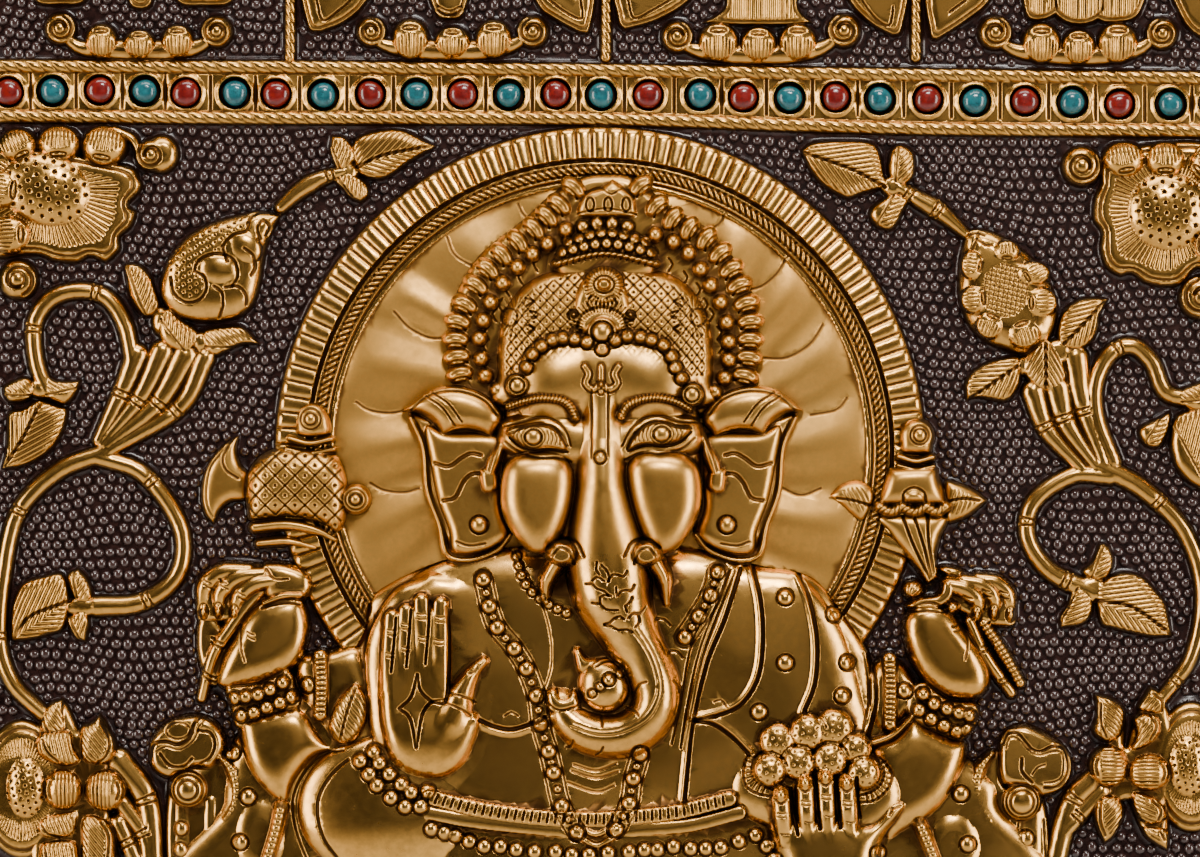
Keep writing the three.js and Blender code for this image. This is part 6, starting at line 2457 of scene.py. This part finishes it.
def build_sheets():
    """The ground with its ornament, and the figure, which are one sheet of metal."""
    global gold
    build_ornament()
    ornament, ornament_reach, ornament_patina_and_shade = height.copy(), gold.copy(), worked_patina_and_shade.copy()
    height[:] = 0
    gold[:] = OUTSIDE
    worked_patina_and_shade[:] = 0
    build_figure()
    # The beaten metal is never quite even.
    u, v = COLUMN_PLACES / 41, ROW_PLACES / 37
    waves = np.sin(u + 1.3 * np.sin(0.9 * v)) * np.sin(v + 1.4 * np.sin(0.8 * u + 1))
    dents = waves + 0.5 * np.sin(1.9 * v + u)
    height[:] += DENTS * dents.astype(np.float32)
    figure, figure_reach = height.copy(), gold.copy()
    head = smooth_step((CHIN - ROW_PLACES) / CHIN_FADE) * (0 * satin + HEAD_SATIN)
    figure_looks = looks_of(np.maximum(figure, ornament), figure_reach * 0 + FAR_INSIDE, worked_patina_and_shade, head)
    figure = np.where(figure_reach > 0, figure, FIGURE_RIM)
    height[:] = ornament
    gold[:] = np.maximum(ornament_reach, figure_reach)
    smooth_ground()
    under = smooth_step((figure_reach - 3) / 3)
    height[:] = height * (1 - under) + UNDER_FIGURE * under
    ground_looks = looks_of(ornament, gold, ornament_patina_and_shade, satin)
    ground_looks["gold"] = gilding(np.where(figure_reach > 0, figure_reach, gold))
    left = (0, GROUND_PARTING, 0, ROWS)
    right = (GROUND_PARTING, COLUMNS, 0, ROWS)
    upper = (FIGURE_LEFT, FIGURE_RIGHT, FIGURE_TOP, FIGURE_PARTING)
    lower = (FIGURE_LEFT, FIGURE_RIGHT, FIGURE_PARTING, ROWS)
    return (
        relief_mesh("embossed_ground_left", height, 0.0, left, ground_looks),
        relief_mesh("embossed_ground_right", height, 0.0, right, ground_looks),
        relief_mesh("embossed_figure_upper", figure, FIGURE_DEPTH, upper, figure_looks),
        relief_mesh("embossed_figure_lower", figure, FIGURE_DEPTH, lower, figure_looks, grow=0.1),
    )


def build_pebbles():
    """All pebbles as one mesh."""
    points, faces, crest = pebble_arrays()
    x = np.clip(points[:, 0], 0, GRID_WIDTH)
    y = np.clip(points[:, 1], 0, GRID_HEIGHT)
    depth = points[:, 2] * METRES_PER_MILLIMETRE
    vertices = np.stack([(x - MIDDLE_X) * UNIT, -depth, (MIDDLE_Y - y) * UNIT], 1)
    mesh = mesh_from(vertices, faces, "ground_pebbles")
    mesh.polygons.foreach_set("use_smooth", np.ones(len(faces), bool))
    attribute = mesh.attributes.new("crest", "FLOAT", "POINT")
    attribute.data.foreach_set("value", crest.astype(np.float32))
    return mesh


def place(name, mesh, material, node):
    thing = bpy.data.objects.new(name, mesh)
    bpy.context.scene.collection.objects.link(thing)
    mesh.materials.append(material)
    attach(thing, "root")
    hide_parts(node)
    return thing


# The stones: radii in drawing units, heights in millimetres.
CORAL_RADIUS = 13.4
TURQUOISE_RADIUS = 12.2
STONE_RIM = 4.7
STONE_TOP = 7.4
STONE_FOOT = SOCKET_FLOOR - 0.1
STONE_SIDES = 40
STONE_RINGS = 12
LEFT_LIMIT = 0.4
RIGHT_LIMIT = 1199.6


def stone_mesh(name, x, y, seed):
    """A low, round, slightly uneven cabochon with its foot in the socket."""
    own = np.random.default_rng(seed)
    if seed % 2 == 0:
        radius = CORAL_RADIUS * own.uniform(0.96, 1.02)
    else:
        radius = TURQUOISE_RADIUS * own.uniform(0.96, 1.03)
    sides = STONE_SIDES
    turn = np.arange(sides) / sides * 2 * np.pi
    wobble = 1 + 0.025 * np.sin(2 * turn + own.uniform(0, 6)) + 0.02 * np.sin(3 * turn + own.uniform(0, 6))
    points = []
    faces = []
    rows = [(1.0, STONE_FOOT), (1.0, STONE_RIM)]
    for i in range(1, STONE_RINGS):
        angle = i / STONE_RINGS * np.pi / 2
        rows.append((np.cos(angle) ** 0.8, STONE_RIM + (STONE_TOP - STONE_RIM) * np.sin(angle)))
    for share, z in rows:
        px = np.clip(x + radius * wobble * share * np.cos(turn), LEFT_LIMIT, RIGHT_LIMIT)
        py = y + radius * wobble * share * np.sin(turn)
        for qx, qy in zip(px, py):
            points.append(((qx - MIDDLE_X) * UNIT, -z * METRES_PER_MILLIMETRE, (MIDDLE_Y - qy) * UNIT))
    for r in range(len(rows) - 1):
        for i in range(sides):
            a, b = r * sides + i, r * sides + (i + 1) % sides
            faces.append((a, b, b + sides, a + sides))
    crown = ((max(x, 1) - MIDDLE_X) * UNIT, -STONE_TOP * METRES_PER_MILLIMETRE, (MIDDLE_Y - y) * UNIT)
    points.append(crown)
    last = (len(rows) - 1) * sides
    for i in range(sides):
        faces.append((last + i, last + (i + 1) % sides, len(points) - 1))
    faces.append(tuple(reversed(range(sides))))
    mesh = bpy.data.meshes.new(name)
    mesh.from_pydata(points, [], faces)
    mesh.polygons.foreach_set("use_smooth", np.ones(len(faces), bool))
    mesh.polygons[len(faces) - 1].use_smooth = False
    mesh.update()
    return mesh


class Nodes:
    """Small helpers to wire a node material."""

    def __init__(self, name):
        self.material = bpy.data.materials.new(name)
        self.material.use_nodes = True
        self.tree = self.material.node_tree
        self.tree.nodes.clear()
        self.shader = self.add("ShaderNodeBsdfPrincipled")
        output = self.add("ShaderNodeOutputMaterial")
        self.join(self.shader.outputs[0], output.inputs[0])

    def add(self, kind, **settings):
        node = self.tree.nodes.new(kind)
        for key, value in settings.items():
            setattr(node, key, value)
        return node

    def join(self, source, target):
        if isinstance(source, (int, float)):
            target.default_value = source
        elif isinstance(source, tuple):
            target.default_value = source
        else:
            self.tree.links.new(source, target)

    def attribute(self, name):
        return self.add("ShaderNodeAttribute", attribute_name=name).outputs["Fac"]

    def maths(self, operation, *values, clamp=False):
        node = self.add("ShaderNodeMath", operation=operation, use_clamp=clamp)
        for value, socket in zip(values, node.inputs):
            self.join(value, socket)
        return node.outputs[0]

    def span(self, value, low, high, to_low=0.0, to_high=1.0):
        node = self.add("ShaderNodeMapRange", interpolation_type="SMOOTHSTEP")
        for socket, entry in zip(node.inputs, (value, low, high, to_low, to_high)):
            self.join(entry, socket)
        return node.outputs[0]

    def mix(self, share, first, second, blend="MIX"):
        node = self.add("ShaderNodeMix", data_type="RGBA", blend_type=blend)
        self.join(share, node.inputs["Factor"])
        self.join(first, node.inputs["A"])
        self.join(second, node.inputs["B"])
        # The colour sockets come after the float and vector ones.
        self.join(first, node.inputs[6])
        self.join(second, node.inputs[7])
        return node.outputs[2]

    def noise(self, scale, detail=3.0, roughness=0.5, offset=0.0):
        place_of = self.add("ShaderNodeTexCoord").outputs["Object"]
        moved = self.add("ShaderNodeMapping")
        self.join(place_of, moved.inputs[0])
        moved.inputs[1].default_value = (offset, offset * 0.7, offset * 1.3)
        node = self.add("ShaderNodeTexNoise")
        self.join(moved.outputs[0], node.inputs["Vector"])
        node.inputs["Scale"].default_value = scale
        node.inputs["Detail"].default_value = detail
        node.inputs["Roughness"].default_value = roughness
        return node.outputs["Fac"]

    def bump(self, height_of, strength, distance):
        node = self.add("ShaderNodeBump")
        node.inputs["Strength"].default_value = strength
        node.inputs["Distance"].default_value = distance
        self.join(height_of, node.inputs["Height"])
        self.join(node.outputs[0], self.shader.inputs["Normal"])


# Colours of the metal, its patina and painted shade, the lacquer with its painted highlight, and the
# stones.
GOLD_DEEP = (0.93, 0.45, 0.085, 1)
GOLD_PALE = (0.97, 0.54, 0.135, 1)
HOLLOW_PATINA_AND_SHADE_BROWN = (0.44, 0.20, 0.045, 1)
FLANK_SHADE_BROWN = (0.24, 0.135, 0.046, 1)
PATINA_AND_SHADE_DARK = (0.032, 0.012, 0.006, 1)
LACQUER_LOW = (0.011, 0.0035, 0.0026, 1)
LACQUER_HIGH = (0.034, 0.013, 0.0105, 1)
LACQUER_CREST_HIGHLIGHT = (0.060, 0.028, 0.023, 1)
CORAL_COLOURS = (0.23, 0.013, 0.010, 1), (0.12, 0.006, 0.006, 1), (0.05, 0.008, 0.006, 1)
TURQUOISE_COLOURS = (0.017, 0.16, 0.19, 1), (0.008, 0.085, 0.105, 1), (0.01, 0.04, 0.05, 1)

# Roughness of each surface.
POLISHED = 0.19
MOTTLED = 0.08
BRUSHED = 0.17
GRIMY = 0.25
LACQUERED = 0.24
PEBBLES_ROUGH = 0.17
STONES_ROUGH = 0.22
COAT_ROUGH = 0.08
FLOOR_ROUGH = 0.8

# Strength of each bump, and its depth in metres.
HAMMER_BUMP = 0.14, 0.0005
STONE_BUMP = 0.15, 0.0003

# Sizes of the noise, in cells a metre.
BROAD_CLOUDS = 26
HAMMER_MARKS = 130
VEINS = 240
PAINT_WANDER = 300
FINE_CLOUDS = 420
GRAIN = 900


def lacquer_colour(n, crest):
    """Plum lacquer, paler on the crests as a painted highlight."""
    mottled = n.mix(n.span(n.noise(FINE_CLOUDS, 4.0, 0.6), 0.3, 0.7), LACQUER_LOW, LACQUER_HIGH)
    return n.mix(crest, mottled, LACQUER_CREST_HIGHLIGHT)


def patina_and_shade_share(n, inside, hollow, fine):
    """Dark patina with painted shade: in worked lines, in hollows and along the edge of the paint, at the
    foot of each form.
    """
    in_lines = n.maths("MULTIPLY", n.attribute("worked_patina_and_shade"), 0.92)
    # Hollows and the foot of each form are painted dark: patina with painted shade.
    in_hollows = n.maths("MULTIPLY", n.span(hollow, 0.60, 0.90), 0.75)
    along_paint = n.maths("MULTIPLY", n.span(inside, 0.62, 0.52), 0.85)
    dark_patina_and_shade = n.maths("MAXIMUM", in_lines, in_hollows)
    dark_patina_and_shade = n.maths("MAXIMUM", dark_patina_and_shade, along_paint)
    return n.maths("MULTIPLY_ADD", n.span(fine, 0.35, 0.75), 0.12, dark_patina_and_shade, clamp=True)


def brass_colour(n, hollow, dark_patina_and_shade):
    """Warm gold, browner in hollows as patina with painted shade and on steep flanks as painted shade, all
    under the dark patina and painted shade.
    """
    warm = n.mix(n.noise(BROAD_CLOUDS, 3.0), GOLD_DEEP, GOLD_PALE)
    # Hollows are painted browner: patina with painted shade.
    patina_and_shade_colour = n.mix(n.span(hollow, 0.505, 0.68), warm, HOLLOW_PATINA_AND_SHADE_BROWN)
    # Steep flanks are painted darker brown: painted shade.
    facing = n.add("ShaderNodeSeparateXYZ")
    n.join(n.add("ShaderNodeTexCoord").outputs["Normal"], facing.inputs[0])
    steep = n.span(n.maths("ABSOLUTE", facing.outputs[1]), 0.80, 0.45)
    patina_and_shade_colour = n.mix(n.maths("MULTIPLY", steep, 0.75), patina_and_shade_colour, FLANK_SHADE_BROWN)
    return n.mix(n.maths("POWER", dark_patina_and_shade, 0.7), patina_and_shade_colour, PATINA_AND_SHADE_DARK)


def sheet_roughness(n, edge, dark_patina_and_shade, fine):
    mottled = n.maths("MULTIPLY_ADD", fine, MOTTLED, POLISHED)
    polish = n.maths("MULTIPLY_ADD", n.attribute("satin"), BRUSHED, mottled)
    rough_gold = n.maths("MULTIPLY_ADD", dark_patina_and_shade, GRIMY, polish)
    painted = n.maths("SUBTRACT", 1.0, edge)
    return n.maths("ADD", n.maths("MULTIPLY", edge, rough_gold), n.maths("MULTIPLY", painted, LACQUERED))


def brass_sheet():
    """Polished gilt brass with brown patina and painted shade in its hollows and painted shade on its steep
    flanks, on a lacquered ground.
    """
    n = Nodes("brass_sheet")
    inside = n.attribute("gold")
    hollow = n.attribute("hollow")
    fine = n.noise(FINE_CLOUDS, 4.0, 0.6)
    # The edge of the paint is a little uneven.
    wander = n.maths("MULTIPLY_ADD", n.noise(PAINT_WANDER, 2.0, offset=3.1), 0.05, -0.025)
    edge = n.span(n.maths("ADD", inside, wander), 0.485, 0.515)
    dark_patina_and_shade = patina_and_shade_share(n, inside, hollow, fine)
    colour = n.mix(edge, lacquer_colour(n, 0.0), brass_colour(n, hollow, dark_patina_and_shade))
    n.join(colour, n.shader.inputs["Base Color"])
    n.join(edge, n.shader.inputs["Metallic"])
    n.join(sheet_roughness(n, edge, dark_patina_and_shade, fine), n.shader.inputs["Roughness"])
    hammer = n.maths("MULTIPLY", n.noise(HAMMER_MARKS, 2.0, offset=1.7), 0.5)
    grain = n.maths("MULTIPLY", n.noise(GRAIN, 3.0, 0.6, offset=5.0), 0.10)
    n.bump(n.maths("ADD", hammer, grain), *HAMMER_BUMP)
    return n.material


def pebble_lacquer():
    """The same lacquer, thick and glossy on the bumps of the ground."""
    n = Nodes("pebble_lacquer")
    # The crest of each bump is painted paler: a painted highlight.
    n.join(lacquer_colour(n, n.maths("MULTIPLY", n.attribute("crest"), 0.7)), n.shader.inputs["Base Color"])
    n.shader.inputs["Roughness"].default_value = PEBBLES_ROUGH
    n.shader.inputs["Specular IOR Level"].default_value = 0.95
    return n.material


def stone(name, light, dark, vein):
    """A clouded stone with thin veins under a clear polish."""
    n = Nodes(name)
    cloud = n.span(n.noise(FINE_CLOUDS, 4.0, 0.6, offset=2.0), 0.3, 0.7)
    colour = n.mix(cloud, light, dark)
    seam = n.maths("ABSOLUTE", n.maths("SUBTRACT", n.noise(VEINS, 3.0, 0.7, offset=8.0), 0.5))
    crack = n.span(seam, 0.0, 0.02, 0.7, 0.0)
    n.join(n.mix(crack, colour, vein), n.shader.inputs["Base Color"])
    n.shader.inputs["Roughness"].default_value = STONES_ROUGH
    n.shader.inputs["Coat Weight"].default_value = 0.6
    n.shader.inputs["Coat Roughness"].default_value = COAT_ROUGH
    n.bump(n.noise(GRAIN, 3.0, offset=4.0), *STONE_BUMP)
    return n.material


BRASS = brass_sheet()

for sheet in build_sheets():
    place(sheet.name, sheet, BRASS, "embossed_sheet")

place("ground_pebbles", build_pebbles(), pebble_lacquer(), "embossed_sheet")

CORAL = stone("coral", *CORAL_COLOURS)
TURQUOISE = stone("turquoise", *TURQUOISE_COLOURS)
for i, (x, y) in enumerate(STONES):
    kind, material = ("coral", CORAL) if i % 2 == 0 else ("turquoise", TURQUOISE)
    number = i // 2 + 1
    mesh = stone_mesh(f"{kind}_bead_{number}", x, y, i)
    place(f"{kind}_bead_{number}", mesh, material, f"{kind}_{number}")


def lamp(name, place_at, size, power, colour):
    """A rectangular lamp that points at the middle of the plaque."""
    data = bpy.data.lights.new(name, "AREA")
    data.shape = "RECTANGLE"
    data.size, data.size_y = size
    data.energy = power
    data.color = colour
    light = bpy.data.objects.new(name, data)
    light.location = place_at
    aim = Vector((0, 0, 0)) - Vector(place_at)
    light.rotation_euler = aim.to_track_quat("-Z", "Y").to_euler()
    bpy.context.scene.collection.objects.link(light)


def plane(name, corners, colour):
    """A plain flat sheet of the stage."""
    mesh = bpy.data.meshes.new(name)
    mesh.from_pydata(corners, [], [(0, 1, 2, 3)])
    thing = bpy.data.objects.new(name, mesh)
    bpy.context.scene.collection.objects.link(thing)
    n = Nodes(name)
    n.shader.inputs["Base Color"].default_value = colour
    n.shader.inputs["Roughness"].default_value = FLOOR_ROUGH
    mesh.materials.append(n.material)


FLOOR_HEIGHT = -0.62
FLOOR_REACH = 3
FLOOR_COLOUR = (0.78, 0.77, 0.75, 1)
floor_corners = [
    (-FLOOR_REACH, -FLOOR_REACH, FLOOR_HEIGHT),
    (FLOOR_REACH, -FLOOR_REACH, FLOOR_HEIGHT),
    (FLOOR_REACH, FLOOR_REACH, FLOOR_HEIGHT),
    (-FLOOR_REACH, FLOOR_REACH, FLOOR_HEIGHT),
]
plane("floor", floor_corners, FLOOR_COLOUR)

# Name, place, width and height in metres, power in watts and colour of each lamp.
LAMPS = [
    ("left_softbox", (-1.15, -0.62, 0.05), (0.45, 1.1), 13.5, (1.0, 0.93, 0.84)),
    ("right_softbox", (1.15, -0.66, 0.05), (0.45, 1.1), 13.5, (1.0, 0.94, 0.86)),
    ("top_key", (0.15, -1.05, 0.85), (0.36, 0.2), 9.5, (1.0, 0.97, 0.93)),
    ("top_softbox", (0.0, -0.45, 1.25), (1.3, 0.4), 12, (1.0, 0.96, 0.92)),
    ("front_panel", (0.30, -2.1, 0.25), (0.9, 0.8), 0.45, (1.0, 0.96, 0.92)),
]
for entry in LAMPS:
    lamp(*entry)

WORLD_COLOUR = (0.5, 0.48, 0.45, 1)
WORLD_STRENGTH = 0.03
world = bpy.data.worlds.new("studio")
bpy.context.scene.world = world
world.use_nodes = True
world.node_tree.nodes["Background"].inputs[0].default_value = WORLD_COLOUR
world.node_tree.nodes["Background"].inputs[1].default_value = WORLD_STRENGTH
